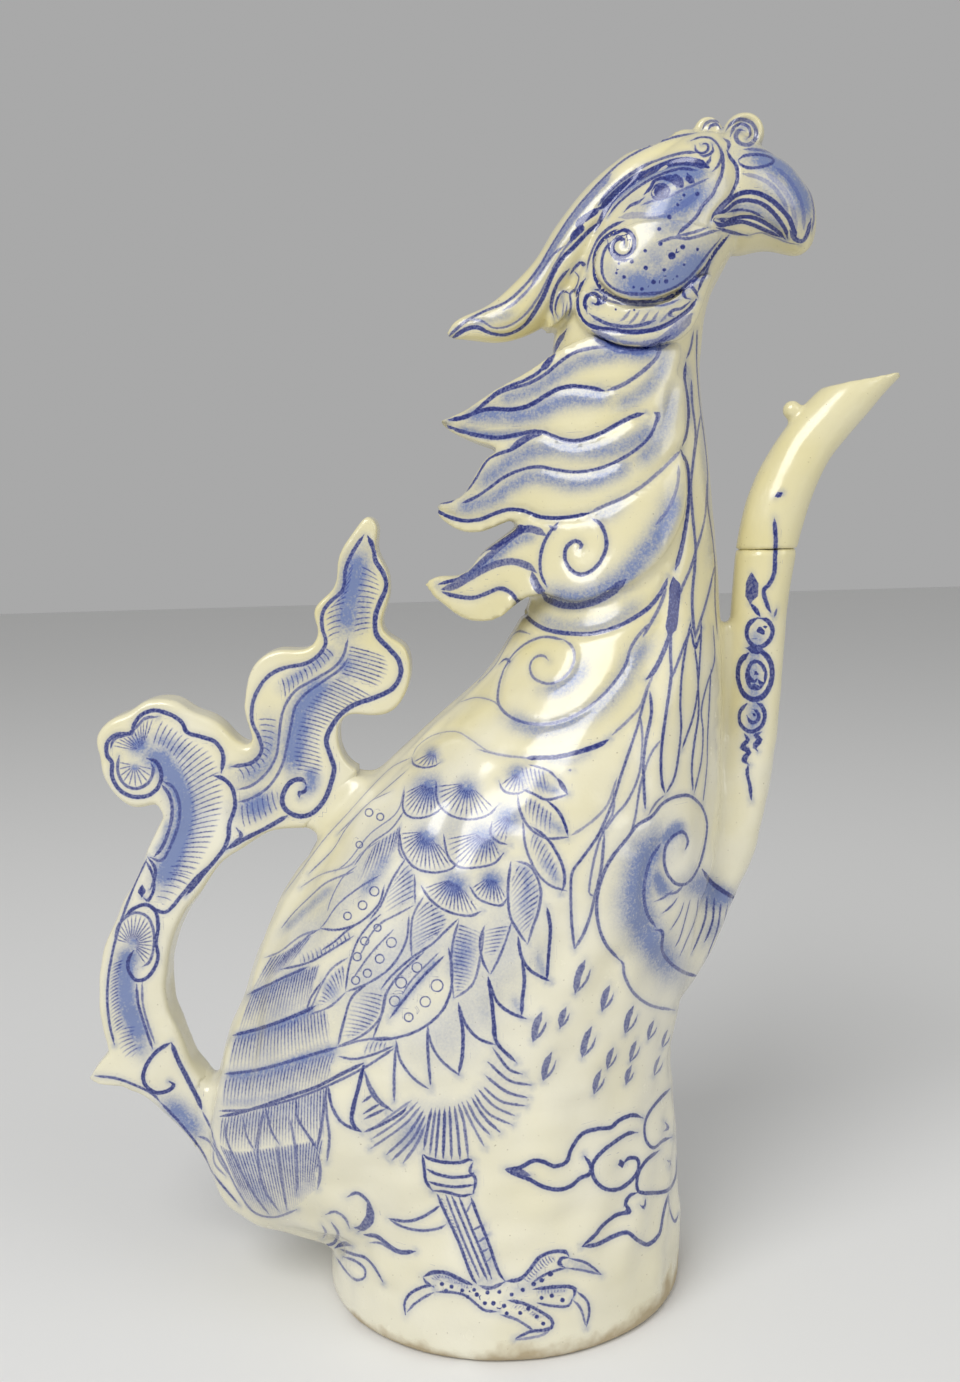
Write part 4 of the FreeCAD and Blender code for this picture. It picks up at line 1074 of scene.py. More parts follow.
wingSheet["lines"] = {
    "covert1Top": (0.9, 0.8, 1150, 240, 1222, 262, 1262, 296),
    "covert1Tip": (1.8, 0.95, 1260, 292, 1282, 326, 1298, 352),
    "covert1Low": (1, 0.85, 1120, 330, 1170, 350, 1216, 372, 1260, 364, 1298, 352),
    "covert2Top": (1.1, 0.9, 1216, 372, 1260, 412, 1286, 460, 1300, 510),
    "covert2Low": (1, 0.75, 1110, 350, 1122, 420, 1160, 482, 1222, 516, 1300, 512),
    "covert3Out": (1.1, 0.85, 1160, 470, 1216, 512, 1252, 562, 1280, 622, 1286, 682, 1272, 722),
    "covert3In": (0.9, 0.75, 1130, 450, 1142, 552, 1182, 642, 1232, 692, 1298, 714),
    "covert4Out": (1, 0.75, 1100, 600, 1160, 622, 1196, 702, 1190, 782, 1166, 852, 1148, 912),
    "covert4In": (1, 0.8, 1086, 602, 1075, 702, 1082, 802, 1112, 862, 1148, 912),
    "covert5Out": (1.3, 0.95, 1220, 770, 1233, 852, 1226, 952, 1220, 1050),
    "covert5In": (1.2, 0.9, 1112, 880, 1126, 960, 1162, 1012, 1236, 1052),
    "covert6Out": (0.9, 0.75, 1090, 822, 1072, 882, 1042, 962, 1010, 1022),
    "covert6In": (1, 0.8, 988, 842, 970, 902, 980, 972, 1005, 1022),
    "covert7Out": (1.3, 0.9, 1126, 962, 1136, 1042, 1128, 1122, 1126, 1184),
    "covert7In": (1.2, 0.9, 1005, 1050, 1032, 1122, 1082, 1166, 1150, 1192),
    "covert8Out": (1.4, 0.95, 1000, 1028, 1013, 1112, 1021, 1192, 1030, 1284),
    "covert8In": (1.1, 0.85, 890, 1130, 912, 1202, 962, 1262, 1030, 1288),
    "covert9Out": (1.3, 0.9, 890, 1130, 906, 1232, 905, 1322, 890, 1400),
    "covert9In": (1, 0.8, 775, 1232, 792, 1292, 832, 1352, 896, 1402),
    "covert10Out": (1.1, 0.85, 776, 1212, 776, 1312, 786, 1440),
    "covert10In": (1, 0.8, 655, 1262, 672, 1342, 722, 1412, 786, 1456),
    "covert11Out": (1.1, 0.8, 656, 1290, 650, 1402, 650, 1500),
    "covert11In": (1, 0.8, 532, 1372, 562, 1442, 602, 1502, 652, 1540),
    "covert12Out": (1.3, 0.9, 534, 1362, 512, 1462, 490, 1568),
    "covert12In": (1, 0.8, 402, 1432, 412, 1502, 446, 1568),
    "covert13": (1, 0.8, 402, 1432, 388, 1500, 380, 1568),
    "ringLeftA": (0.9, 0.8, 600, 800, 556, 840, 512, 902, 482, 992, 468, 1090),
    "ringRightA": (0.9, 0.75, 706, 800, 694, 902, 642, 992, 562, 1052, 470, 1090),
    "ringAxisA": (0.8, 0.7, 652, 852, 560, 950, 490, 1050),
    "ringLeftB": (0.9, 0.8, 762, 940, 682, 1012, 622, 1092, 600, 1182, 570, 1265),
    "ringRightB": (1, 0.85, 852, 920, 866, 1002, 860, 1092, 820, 1172, 742, 1232, 652, 1262, 570,
        1270),
    "ringAxisB": (1, 0.85, 842, 950, 742, 1050, 632, 1190),
    "ringAxisB2": (0.7, 0.7, 820, 940, 720, 1040, 680, 1100),
    "ringLeftC": (0.8, 0.7, 600, 652, 520, 700, 442, 762, 392, 832, 372, 854),
    "ringRightC": (0.9, 0.8, 614, 690, 592, 762, 522, 830, 442, 857, 374, 853),
    "ringTopC": (0.7, 0.65, 510, 620, 460, 660, 420, 730, 400, 790),
    "quill1": (0.9, 0.75, 694, 590, 642, 672, 602, 762, 560, 820),
    "quill1Edge": (0.9, 0.75, 726, 650, 728, 762),
    "quill1Low": (0.8, 0.7, 728, 764, 662, 800, 602, 832, 560, 880, 520, 960),
    "quill2": (0.9, 0.7, 762, 730, 722, 802, 712, 882, 716, 960),
    "quill2Right": (0.9, 0.8, 890, 816, 832, 872, 790, 912, 716, 962, 640, 1030, 600, 1080),
    "quill3Left": (0.9, 0.75, 892, 820, 870, 902, 862, 1002, 872, 1112),
    "quill3Right": (0.9, 0.7, 985, 850, 972, 960, 942, 1062, 872, 1116),
    "quill4Left": (1, 0.8, 560, 1050, 492, 1110, 462, 1200, 440, 1292),
    "quill4Right": (0.9, 0.75, 622, 1080, 604, 1172, 560, 1230, 500, 1268, 440, 1292),
    "quill5": (0.9, 0.75, 440, 1296, 520, 1272, 602, 1262, 656, 1262),
    "quill5Low": (0.9, 0.8, 440, 1330, 502, 1340, 580, 1320, 650, 1290),
    "quill6": (0.8, 0.65, 480, 960, 420, 1000, 380, 1060, 340, 1150, 326, 1180),
    "quill7": (0.8, 0.7, 470, 1090, 440, 1120, 400, 1150, 330, 1176),
    "quill8": (0.9, 0.8, 500, 880, 420, 930, 330, 980, 226, 1006),
    "quill8Top": (0.8, 0.7, 230, 1004, 270, 940, 330, 880, 372, 856),
    "quill9": (0.9, 0.8, 540, 820, 480, 856, 430, 900, 370, 940),
    "band0": (1, 0.6, 226, 856, 270, 800, 330, 740, 400, 680, 500, 640),
    "band0Low": (0.9, 0.6, 166, 962, 222, 940, 300, 882, 372, 856),
    "band1": (1.2, 0.8, 100, 1102, 180, 1064, 252, 1030, 330, 996),
    "band2": (1.5, 0.85, 48, 1252, 150, 1226, 252, 1190, 322, 1160, 360, 1140),
    "band3": (1.2, 0.8, 16, 1396, 122, 1384, 222, 1360, 322, 1330, 440, 1296),
    "band4": (1, 0.8, -4, 1534, 102, 1530, 202, 1510, 302, 1480, 402, 1440, 540, 1372, 650, 1300),
    "band2Edge": (1, 0.8, 322, 1160, 340, 1110, 380, 1050),
    "backLine1": (0.8, 0.5, 716, 214, 640, 252, 560, 330, 470, 430, 380, 530, 300, 640, 240, 720),
    "backLine2": (0.8, 0.6, 700, 260, 620, 330, 540, 400, 470, 480, 420, 560, 330, 650),
    "backLine3": (0.8, 0.6, 690, 320, 660, 420, 560, 500, 480, 600, 430, 640),
    "backLine4": (1, 0.7, 690, 410, 640, 480, 560, 540, 500, 620),
    "backLine5": (0.9, 0.7, 670, 470, 668, 560, 690, 600),
    "backLine6": (0.8, 0.6, 640, 340, 560, 380, 500, 440, 440, 500),
    "backLine7": (0.8, 0.5, 600, 520, 530, 570, 480, 620, 380, 650, 300, 700),
    "topArc": (0.6, 0.45, 716, 214, 740, 170, 800, 130, 880, 118, 940, 150, 1000, 190, 1080, 208,
        1160, 216),
}
wingSheet["washes"] = {
    "bandWash1": (3.6, 0.56, 110, 1110, 190, 1076, 262, 1040, 340, 1010),
    "bandWash2": (3.6, 0.62, 40, 1268, 150, 1242, 262, 1206, 340, 1170),
    "bandWash3": (4.2, 0.62, 10, 1412, 122, 1402, 232, 1376, 342, 1340, 450, 1300),
    "bandWash4": (2.6, 0.38, 0, 1500, 100, 1500, 200, 1484, 300, 1456),
    "bandWash0": (3.6, 0.5, 230, 870, 290, 810, 360, 750, 430, 690),
    "quillWash": (4, 0.56, 640, 560, 600, 620, 560, 680, 520, 740),
    "quillWash2": (4, 0.53, 380, 1040, 420, 1100, 400, 1130),
    "quillWash3": (6.5, 0.62, 920, 850, 900, 960, 900, 1060),
    "quillWash4": (5, 0.4, 1140, 680, 1150, 780, 1150, 860),
    "quillWash5": (3.6, 0.38, 1180, 420, 1240, 470, 1270, 500),
    "quillWash6": (3, 0.38, 1190, 570, 1250, 660),
    "scaleWashC": (5, 0.75, 760, 480, 790, 500),
    "scaleWashA": (3.6, 0.62, 780, 290, 800, 310),
    "scaleWashB": (3, 0.5, 916, 300, 936, 318),
    "scaleWashE": (5.5, 0.81, 860, 650, 910, 670),
    "scaleWashF": (4, 0.62, 1000, 640, 1040, 660),
    "scaleWashD": (2.6, 0.38, 990, 480, 1010, 500),
    "covertWash": (5, 0.31, 980, 1060, 990, 1160, 1010, 1240),
    "covertWash5": (4, 0.31, 1180, 900, 1200, 980),
    "wingTintTop": (16, 0.3, 800, 330, 860, 480, 900, 640),
    "wingTintBack": (11, 0.26, 660, 420, 520, 620, 400, 800, 240, 960),
    "wingTintMiddle": (15, 0.3, 880, 760, 760, 900, 600, 1040, 440, 1180),
    "wingTintTips": (12, 0.26, 1120, 700, 1080, 880, 1000, 1060, 880, 1220, 700, 1330),
    "wingTintBands": (12, 0.3, 300, 1060, 180, 1240, 140, 1420),
    "quillWash5b": (2.6, 0.55, 1130, 600, 1150, 700, 1130, 800),
    "covertPool1": (2.2, 0.6, 1160, 300, 1230, 330, 1280, 350),
    "covertPool2": (2.2, 0.55, 1180, 420, 1250, 470, 1290, 505),
    "covertPool3": (2.4, 0.55, 1200, 580, 1240, 640, 1268, 700),
    "covertPool5": (2.2, 0.5, 1180, 940, 1200, 1000, 1215, 1045),
    "covertPool7": (2.2, 0.5, 1090, 1100, 1116, 1150, 1130, 1180),
    "ringAxisWash": (2, 0.6, 820, 960, 760, 1030, 690, 1110, 640, 1180),
    "bandUnder1": (1.8, 0.7, 100, 1106, 180, 1072, 252, 1036, 330, 1000),
    "bandUnder2": (1.8, 0.8, 48, 1258, 150, 1232, 252, 1196, 360, 1146),
    "bandUnder3": (1.8, 0.8, 16, 1402, 122, 1390, 222, 1364, 322, 1330, 440, 1300),
}
wingSheet["fans"] = {
    "scaleTop": (8, 800, 190, 716, 214, 724, 240, 760, 252, 800, 246, 826, 230),
    "scaleA": (14, 788, 300, 690, 330, 682, 400, 704, 434, 752, 440, 800, 424, 836, 396),
    "scaleB": (16, 926, 310, 806, 300, 812, 380, 860, 430, 930, 446, 1000, 430, 1040, 390),
    "scaleC": (18, 772, 490, 668, 480, 680, 560, 722, 622, 792, 644, 860, 632, 892, 600),
    "scaleD": (16, 1000, 490, 834, 500, 850, 580, 890, 622, 952, 626, 1022, 610, 1060, 570),
    "scaleE": (16, 880, 660, 748, 690, 790, 750, 852, 790, 930, 806, 980, 786),
    "scaleF": (12, 1020, 650, 928, 690, 962, 740, 1012, 762, 1052, 766, 1076, 730),
    "scaleG": (8, 1090, 420, 1016, 450, 1010, 500, 1040, 530, 1080, 540),
    "scaleH": (8, 1120, 260, 1040, 300, 1060, 340, 1110, 350, 1150, 330),
}
wingSheet["hatches"] = {
    "hatchCovert1": (8, [1110, 250, 1160, 250, 1220, 266], [1140, 330, 1190, 350, 1240, 360]),
    "hatchCovert2": (9, [1130, 350, 1190, 380, 1250, 430], [1130, 420, 1180, 480, 1250, 510]),
    "hatchCovert3": (11, [1160, 480, 1220, 540, 1270, 640], [1150, 540, 1190, 620, 1250, 690]),
    "hatchCovert4": (15, [1100, 610, 1170, 640, 1192, 740, 1160, 850],
        [1080, 680, 1084, 760, 1100, 830, 1130, 890]),
    "hatchCovert6": (9, [1086, 830, 1060, 890, 1030, 950], [990, 850, 976, 900, 984, 960]),
    "hatchQuill1": (9, [694, 600, 722, 640, 726, 700, 726, 750],
        [640, 680, 620, 730, 612, 780, 620, 810]),
    "hatchQuill2": (12, [770, 740, 830, 790, 850, 830, 800, 890],
        [730, 790, 716, 850, 712, 900, 718, 950]),
    "hatchQuill3": (20, [892, 826, 872, 900, 866, 1000, 876, 1100],
        [980, 860, 966, 950, 940, 1040, 900, 1096]),
    "hatchQuill4": (14, [612, 1090, 600, 1160, 560, 1220, 500, 1262],
        [540, 1080, 490, 1130, 470, 1190, 450, 1270]),
    "hatchBand1": (26, [110, 1100, 180, 1068, 252, 1034, 330, 1000, 380, 980],
        [60, 1240, 140, 1216, 230, 1186, 310, 1150, 340, 1110]),
    "hatchBand2": (30, [48, 1262, 150, 1236, 252, 1200, 330, 1170, 400, 1150],
        [20, 1386, 122, 1376, 222, 1350, 322, 1320, 420, 1280]),
    "hatchBand3": (34, [12, 1410, 122, 1398, 222, 1372, 322, 1342, 440, 1310],
        [0, 1520, 102, 1520, 202, 1500, 302, 1470, 410, 1420]),
    "hatchBand0": (14, [180, 960, 240, 940, 300, 896, 360, 866],
        [110, 1090, 180, 1056, 226, 1016, 260, 1000]),
    "hatchQuill8": (14, [500, 890, 440, 926, 380, 962, 300, 996],
        [486, 850, 430, 880, 390, 910, 290, 950]),
    "hatchQuill6": (12, [470, 980, 420, 1020, 390, 1070, 360, 1140],
        [470, 1070, 440, 1100, 420, 1120, 400, 1140]),
    "hatchBack": (12, [690, 430, 660, 480, 600, 520, 560, 560],
        [660, 560, 620, 620, 560, 660, 500, 690]),
    "hatchLow": (7, [540, 1276, 570, 1274, 610, 1270, 640, 1268],
        [520, 1336, 550, 1328, 590, 1316, 630, 1300]),
}
wingSheet["rings"] = [
    540, 900, 15, 512, 958, 15, 640, 905, 18, 596, 966, 16, 550, 1020, 15, 506, 1046, 15, 588, 850,
    13, 735, 998, 18, 676, 1055, 20, 652, 1124, 19, 810, 1066, 22, 766, 1126, 19, 704, 1184, 16,
    576, 714, 17, 532, 766, 16, 476, 806, 14, 556, 420, 14, 598, 436, 13, 520, 540, 12,
]
wingSheet["carving"] = [
    (1.2, 0.3, "band1", "band2", "band3", "band4"),
    (2.5, 0.35, "topArc"),
]
legSheet = {"corner": (300, 1000), "zoom": 3.733, "brush": 0.72, "fade": 3}
legSheet["lines"] = {
    "fringeRight1": (1.1, 0.9, 715, 100, 742, 170, 810, 235),
    "fringeRight2": (0.9, 0.85, 720, 180, 780, 258, 835, 278),
    "fringeRight3": (0.9, 0.8, 700, 230, 780, 300, 865, 318),
    "fringeRight4": (0.9, 0.8, 690, 280, 770, 342, 855, 366),
    "fringeRight5": (0.8, 0.75, 680, 320, 750, 378, 845, 396),
    "fringeRight6": (0.8, 0.75, 662, 330, 724, 396, 806, 434),
    "fringeRight7": (0.8, 0.75, 650, 350, 704, 424, 796, 468),
    "fringeRight8": (0.9, 0.8, 640, 364, 690, 440, 750, 496),
    "fringeRight9": (0.9, 0.75, 620, 372, 662, 452, 712, 506),
    "fringeRight10": (0.8, 0.7, 604, 380, 642, 462, 690, 552),
    "fringeDown1": (1, 0.85, 492, 402, 478, 470, 462, 560),
    "fringeDown2": (0.9, 0.8, 506, 402, 496, 480, 484, 580),
    "fringeDown3": (0.9, 0.85, 522, 402, 514, 490, 506, 590),
    "fringeDown4": (1, 0.9, 540, 400, 538, 490, 534, 596),
    "fringeDown5": (0.9, 0.8, 558, 398, 562, 480, 566, 600),
    "fringeDown6": (0.9, 0.8, 576, 392, 588, 480, 598, 600),
    "fringeDown7": (0.9, 0.75, 590, 386, 612, 460, 628, 590),
    "fringeLeft1": (0.8, 0.7, 440, 380, 370, 450, 266, 520),
    "fringeLeft2": (0.8, 0.7, 452, 396, 384, 470, 262, 556),
    "fringeLeft3": (0.9, 0.75, 462, 410, 404, 500, 320, 580),
    "fringeLeft4": (0.9, 0.75, 468, 430, 420, 520, 340, 602),
    "fringeLeft5": (0.9, 0.7, 470, 460, 434, 540, 384, 610),
    "fringeLeft6": (0.8, 0.6, 420, 372, 340, 430, 260, 490),
    "kneeTop": (1.1, 0.95, 456, 572, 482, 592, 540, 606, 600, 606, 632, 594, 648, 600),
    "kneeLeft": (1.1, 0.95, 456, 572, 464, 630, 470, 676, 496, 714),
    "kneeArc1": (1, 0.9, 466, 628, 512, 650, 570, 662, 634, 656, 652, 642),
    "kneeArc2": (1, 0.9, 474, 676, 520, 690, 582, 698, 650, 690),
    "kneeFoot": (1, 0.9, 496, 712, 544, 716, 600, 731, 646, 724),
    "kneeRight": (1, 0.85, 648, 600, 634, 640, 656, 668, 646, 724),
    "shankLeft": (1, 0.9, 510, 720, 546, 802, 592, 902, 640, 1028, 664, 1064),
    "shankInner": (0.8, 0.8, 542, 722, 572, 802, 612, 902, 654, 1000, 672, 1042),
    "shankMiddle": (0.9, 0.85, 566, 730, 612, 840, 662, 962, 702, 1052),
    "shankMiddle2": (0.9, 0.85, 592, 730, 632, 832, 682, 952, 716, 1042),
    "shankRight": (1, 0.9, 636, 730, 662, 802, 702, 902, 740, 1012, 766, 1050),
    "shankCross1": (0.7, 0.7, 616, 800, 628, 780, 640, 752),
    "shankCross2": (0.8, 0.8, 640, 862, 662, 850, 688, 838),
    "shankCross3": (0.8, 0.8, 652, 908, 678, 896, 704, 874),
    "shankCross4": (0.7, 0.7, 664, 940, 690, 936, 712, 920),
    "shankCross5": (0.7, 0.6, 690, 980, 710, 966, 722, 950),
    "spurTop": (1, 0.85, 330, 816, 400, 826, 462, 808, 526, 766),
    "spurLow": (0.9, 0.8, 332, 818, 382, 846, 452, 861, 520, 852, 548, 834),
    "toeLeftTop": (1.3, 0.9, 458, 1034, 502, 1016, 552, 1021, 602, 1046, 650, 1066),
    "toeLeftTip": (1.1, 0.85, 458, 1034, 476, 1058, 500, 1072),
    "clawLeftTop": (1, 0.9, 394, 1176, 390, 1130, 414, 1094, 462, 1070, 500, 1068),
    "clawLeftLow": (0.9, 0.8, 396, 1170, 426, 1136, 470, 1106, 504, 1090),
    "toeLeftLow": (0.9, 0.85, 504, 1090, 552, 1090, 612, 1100, 652, 1130, 690, 1158, 740, 1164),
    "toeUpTop": (1.2, 0.9, 766, 1050, 822, 1042, 862, 1002, 892, 962, 940, 940, 990, 940, 1006,
        962),
    "toeUpLow": (0.9, 0.85, 862, 1060, 902, 1032, 952, 1010, 996, 1000),
    "toeUpTip": (1.2, 0.9, 1004, 962, 976, 964, 966, 984, 990, 1000),
    "clawUpTop": (0.9, 0.85, 1004, 964, 1070, 982, 1126, 1026),
    "clawUpLow": (0.8, 0.75, 994, 1000, 1060, 1010, 1126, 1026),
    "toeMidTop": (1.2, 0.9, 870, 1080, 942, 1072, 1002, 1070, 1028, 1082, 1018, 1112),
    "toeMidLow": (0.9, 0.85, 882, 1130, 942, 1142, 1000, 1142, 1018, 1112),
    "clawMidOut": (0.9, 0.85, 1030, 1086, 1070, 1120, 1080, 1162, 1068, 1224),
    "clawMidIn": (0.8, 0.75, 1014, 1116, 1048, 1152, 1068, 1222),
    "toeLowTop": (1.1, 0.85, 770, 1120, 832, 1132, 892, 1160, 936, 1190, 942, 1220, 902, 1234, 860,
        1238, 800, 1266),
    "toeLowUnder": (0.9, 0.8, 744, 1174, 802, 1190, 852, 1220, 880, 1240),
    "toeLowClaw": (0.9, 0.6, 800, 1268, 852, 1262, 902, 1252, 940, 1226),
    "ankle": (1.2, 0.8, 664, 1064, 710, 1076, 766, 1052),
    "cloudTop": (1.3, 0.95, 764, 632, 820, 626, 870, 600, 910, 604, 950, 621, 996, 604, 1010, 562,
        1050, 502, 1110, 481, 1160, 476, 1190, 450, 1240, 430, 1282, 441),
    "cloudLow": (1.3, 0.95, 764, 634, 820, 656, 862, 672, 902, 695, 960, 708, 1010, 695, 1046, 664,
        1078, 652, 1086, 620, 1060, 580),
    "cloudTip": (2.2, 0.8, 776, 632, 822, 644, 860, 656),
    "cloudRound": (1.3, 0.95, 1262, 494, 1222, 500, 1160, 540, 1112, 582, 1090, 622, 1100, 670,
        1140, 705, 1192, 705, 1240, 670, 1264, 630, 1260, 594, 1230, 590, 1206, 610),
    "cloudEye": (3, 1, 1190, 614, 1208, 608),
    "cloudUpper": (1.2, 0.9, 1382, 330, 1342, 370, 1302, 422, 1286, 472, 1292, 524, 1320, 552, 1356,
        524, 1388, 512),
    "cloudUpperEye": (1.1, 0.8, 1358, 490, 1376, 476, 1362, 456),
    "cloudMiddle": (1.3, 0.95, 1342, 560, 1292, 600, 1262, 652, 1262, 712, 1312, 720, 1372, 710,
        1402, 660, 1406, 590),
    "cloudMiddleEye": (1, 0.8, 1372, 600, 1384, 606, 1378, 624),
    "cloudFoot": (1.3, 0.95, 1264, 718, 1232, 730, 1214, 760, 1232, 790, 1182, 802, 1130, 842, 1100,
        880, 1052, 920),
    "cloudFootLow": (1.4, 0.9, 1052, 920, 1110, 912, 1170, 882, 1222, 868, 1260, 896, 1300, 912,
        1342, 872, 1356, 802, 1376, 722),
    "cloudFootNip": (1, 0.85, 1268, 764, 1286, 776, 1290, 740),
    "cloudEdge": (1.1, 0.8, 1376, 722, 1380, 782, 1398, 826, 1414, 800),
    "budCrescent": (1.1, 0.8, 175, 736, 212, 720, 250, 748, 272, 800, 260, 840, 216, 866),
    "budCrescentFill": (2.8, 0.8, 252, 762, 262, 806, 236, 846, 206, 850),
    "budCurl1": (0.9, 0.7, 94, 802, 130, 790, 166, 812, 186, 852),
    "budCurl2": (0.9, 0.65, 80, 838, 96, 866, 84, 892),
    "budCurl3": (1.1, 0.8, 116, 828, 142, 872, 126, 908, 100, 918, 118, 938),
    "budKnot": (1.8, 0.85, 130, 926, 166, 910, 194, 918),
    "budStem": (1, 0.85, 150, 930, 202, 950, 244, 962, 280, 1002, 312, 1058),
    "budLeaf": (0.9, 0.8, 134, 960, 170, 1010, 206, 1044, 240, 1036, 242, 1004, 206, 974, 160, 958),
    "budTongue": (1.5, 0.85, 236, 876, 290, 884, 342, 926, 382, 942, 432, 938),
    "budTongue2": (0.9, 0.7, 258, 906, 300, 908, 350, 938),
    "covertLeftOut": (1.3, 0.95, 240, 243, 212, 350, 192, 432, 204, 474, 235, 495),
    "covertLeftIn": (1, 0.85, 104, 316, 120, 400, 160, 460, 235, 495),
    "covertLeftSide": (0.9, 0.8, 244, 290, 268, 350, 302, 390, 322, 404),
    "covertLeftFoot": (1, 0.85, 235, 495, 310, 462, 380, 420, 402, 392),
    "covertBar1": (0.9, 0.85, 230, 384, 250, 370, 272, 352),
    "covertBar2": (0.9, 0.85, 232, 428, 270, 404, 304, 384),
    "covertBar3": (0.9, 0.85, 236, 446, 282, 424, 324, 404),
    "covertBar4": (0.8, 0.8, 232, 466, 282, 450, 326, 428),
}
legSheet["washes"] = {
    "fringeWash": (6.5, 0.55, 470, 420, 420, 500, 360, 560),
    "fringeWashRight": (5, 0.3, 640, 400, 700, 440),
    "thighWash": (5.5, 0.55, 540, 410, 540, 500),
    "shankWash": (3, 0.4, 664, 850, 700, 960, 730, 1030),
    "toeWash": (3, 0.35, 780, 1080, 850, 1070, 920, 1010),
    "toeWashMid": (2.6, 0.4, 880, 1086, 960, 1080, 1010, 1080),
    "clawWash": (1.8, 0.4, 1010, 986, 1060, 1000, 1110, 1020),
    "toeLeftWash": (2.6, 0.35, 480, 1030, 560, 1040, 640, 1074),
}
legSheet["hatches"] = {
    "shankRungs": (22, [512, 730, 548, 812, 592, 912, 636, 1012],
        [540, 734, 572, 812, 612, 912, 650, 1002]),
    "toeLeftRungs": (16, [470, 1030, 522, 1022, 582, 1040, 640, 1064],
        [500, 1050, 530, 1046, 580, 1064, 630, 1086]),
    "toeUpRungs": (14, [822, 1042, 868, 1000, 900, 962, 950, 946],
        [850, 1062, 890, 1022, 930, 990, 966, 976]),
    "toeMidRungs": (11, [880, 1082, 942, 1076, 1000, 1074], [880, 1104, 942, 1098, 1000, 1096]),
    "toeLowRungs": (12, [790, 1130, 852, 1146, 922, 1186], [776, 1150, 836, 1166, 892, 1204]),
}
legSheet["dots"] = [
    530, 1060, 2, 566, 1070, 2, 606, 1084, 2, 660, 1100, 2.2, 700, 1092, 2, 722, 1132, 2.2, 762,
    1142, 2.2, 690, 1132, 2, 790, 1100, 2, 832, 1082, 2.2, 872, 1060, 2.4, 902, 1046, 2.4, 934,
    1022, 2.8, 940, 1104, 2.2, 980, 1120, 2.2, 902, 1112, 2, 852, 1152, 2.2, 884, 1182, 2.2, 822,
    1168, 2, 772, 1170, 2, 650, 1082, 1.8, 545, 1086, 2, 626, 1108, 1.8, 908, 1208, 2, 744, 1090, 2,
    810, 1128, 2,
]
legSheet["carving"] = [
    (1.2, 0.25, "shankLeft", "shankRight", "kneeTop"),
]
rumpSheet = {"corner": (60, 860), "zoom": 3.92, "brush": 0.75, "fade": 1.2}
rumpSheet["lines"] = {
    "wingFoot": (1.1, 0.85, 624, 1006, 700, 992, 800, 962, 900, 926, 1000, 892, 1090, 846, 1190,
        796),
    "tailPoint1": (0.9, 0.75, 714, 1000, 732, 1082, 764, 1140),
    "tailPoint1b": (0.9, 0.75, 764, 1140, 778, 1060, 802, 970),
    "tailPoint2": (1, 0.8, 806, 968, 828, 1060, 860, 1116),
    "tailPoint2b": (1, 0.8, 926, 936, 930, 1010, 980, 1090, 1012, 1140),
    "tailPoint3": (1, 0.8, 1046, 882, 1036, 960, 1022, 1060, 1008, 1130),
    "tailPoint4": (0.9, 0.75, 1040, 900, 1046, 1000, 1056, 1090, 1046, 1184),
    "tailLong1": (1, 0.75, 660, 1016, 652, 1090, 700, 1200, 760, 1310, 820, 1390),
    "tailLong2": (1, 0.75, 800, 980, 780, 1080, 776, 1180, 800, 1290, 860, 1380),
    "tailLong3": (1, 0.75, 850, 1120, 862, 1210, 876, 1300, 890, 1372),
    "tailLong4": (1, 0.7, 900, 1010, 920, 1110, 930, 1210, 926, 1310),
    "tailLong5": (1, 0.7, 1010, 1150, 1020, 1220, 1010, 1290),
    "rumpEdge": (0.9, 0.7, 594, 1100, 640, 1180, 700, 1300, 760, 1380, 840, 1400, 930, 1370),
    "rumpLoop1": (0.9, 0.6, 600, 1130, 606, 1190, 650, 1240),
    "rumpLoop2": (0.9, 0.6, 604, 1090, 622, 1170, 676, 1250),
    "strapEdge": (0.9, 0.85, 340, -4, 300, 80, 256, 190, 216, 320, 192, 440, 185, 540, 194, 640,
        214, 726),
    "strapBallOuter": (1.2, 0.95, 252, 222, 290, 190, 336, 175, 374, 200, 385, 262, 376, 320, 384,
        384, 362, 438, 330, 468, 296, 470, 270, 436, 268, 392, 290, 352),
    "strapRight": (1, 0.85, 300, 484, 306, 560, 330, 642, 364, 742),
    "strapRight2": (0.8, 0.7, 322, 478, 324, 560, 344, 640, 372, 720),
    "strapNeck1": (1, 0.9, 336, 0, 364, 60, 368, 112, 346, 160, 328, 148),
    "strapTongue": (2.4, 0.9, 322, 100, 320, 144),
    "strapScrollEdge": (1.2, 0.9, 620, 0, 540, 64, 476, 140, 420, 202, 376, 196, 340, 172),
    "knotTop": (1.3, 0.95, 436, 714, 380, 750, 346, 792, 326, 842, 336, 884, 376, 912, 424, 904,
        446, 882, 428, 868),
    "knotRight": (1.6, 0.9, 436, 714, 462, 782, 502, 862, 542, 940, 556, 982),
    "spurLine": (0.9, 0.85, 134, 846, 220, 856, 302, 886, 362, 916, 394, 950),
    "strapFootEdge": (1, 0.85, 394, 950, 452, 1010, 512, 1082, 562, 1152, 602, 1232, 702, 1352),
    "strapFootLine": (0.9, 0.8, 556, 982, 590, 1050, 604, 1110),
    "strapFootHem": (0.9, 0.7, 536, 1082, 580, 1098, 612, 1150),
}
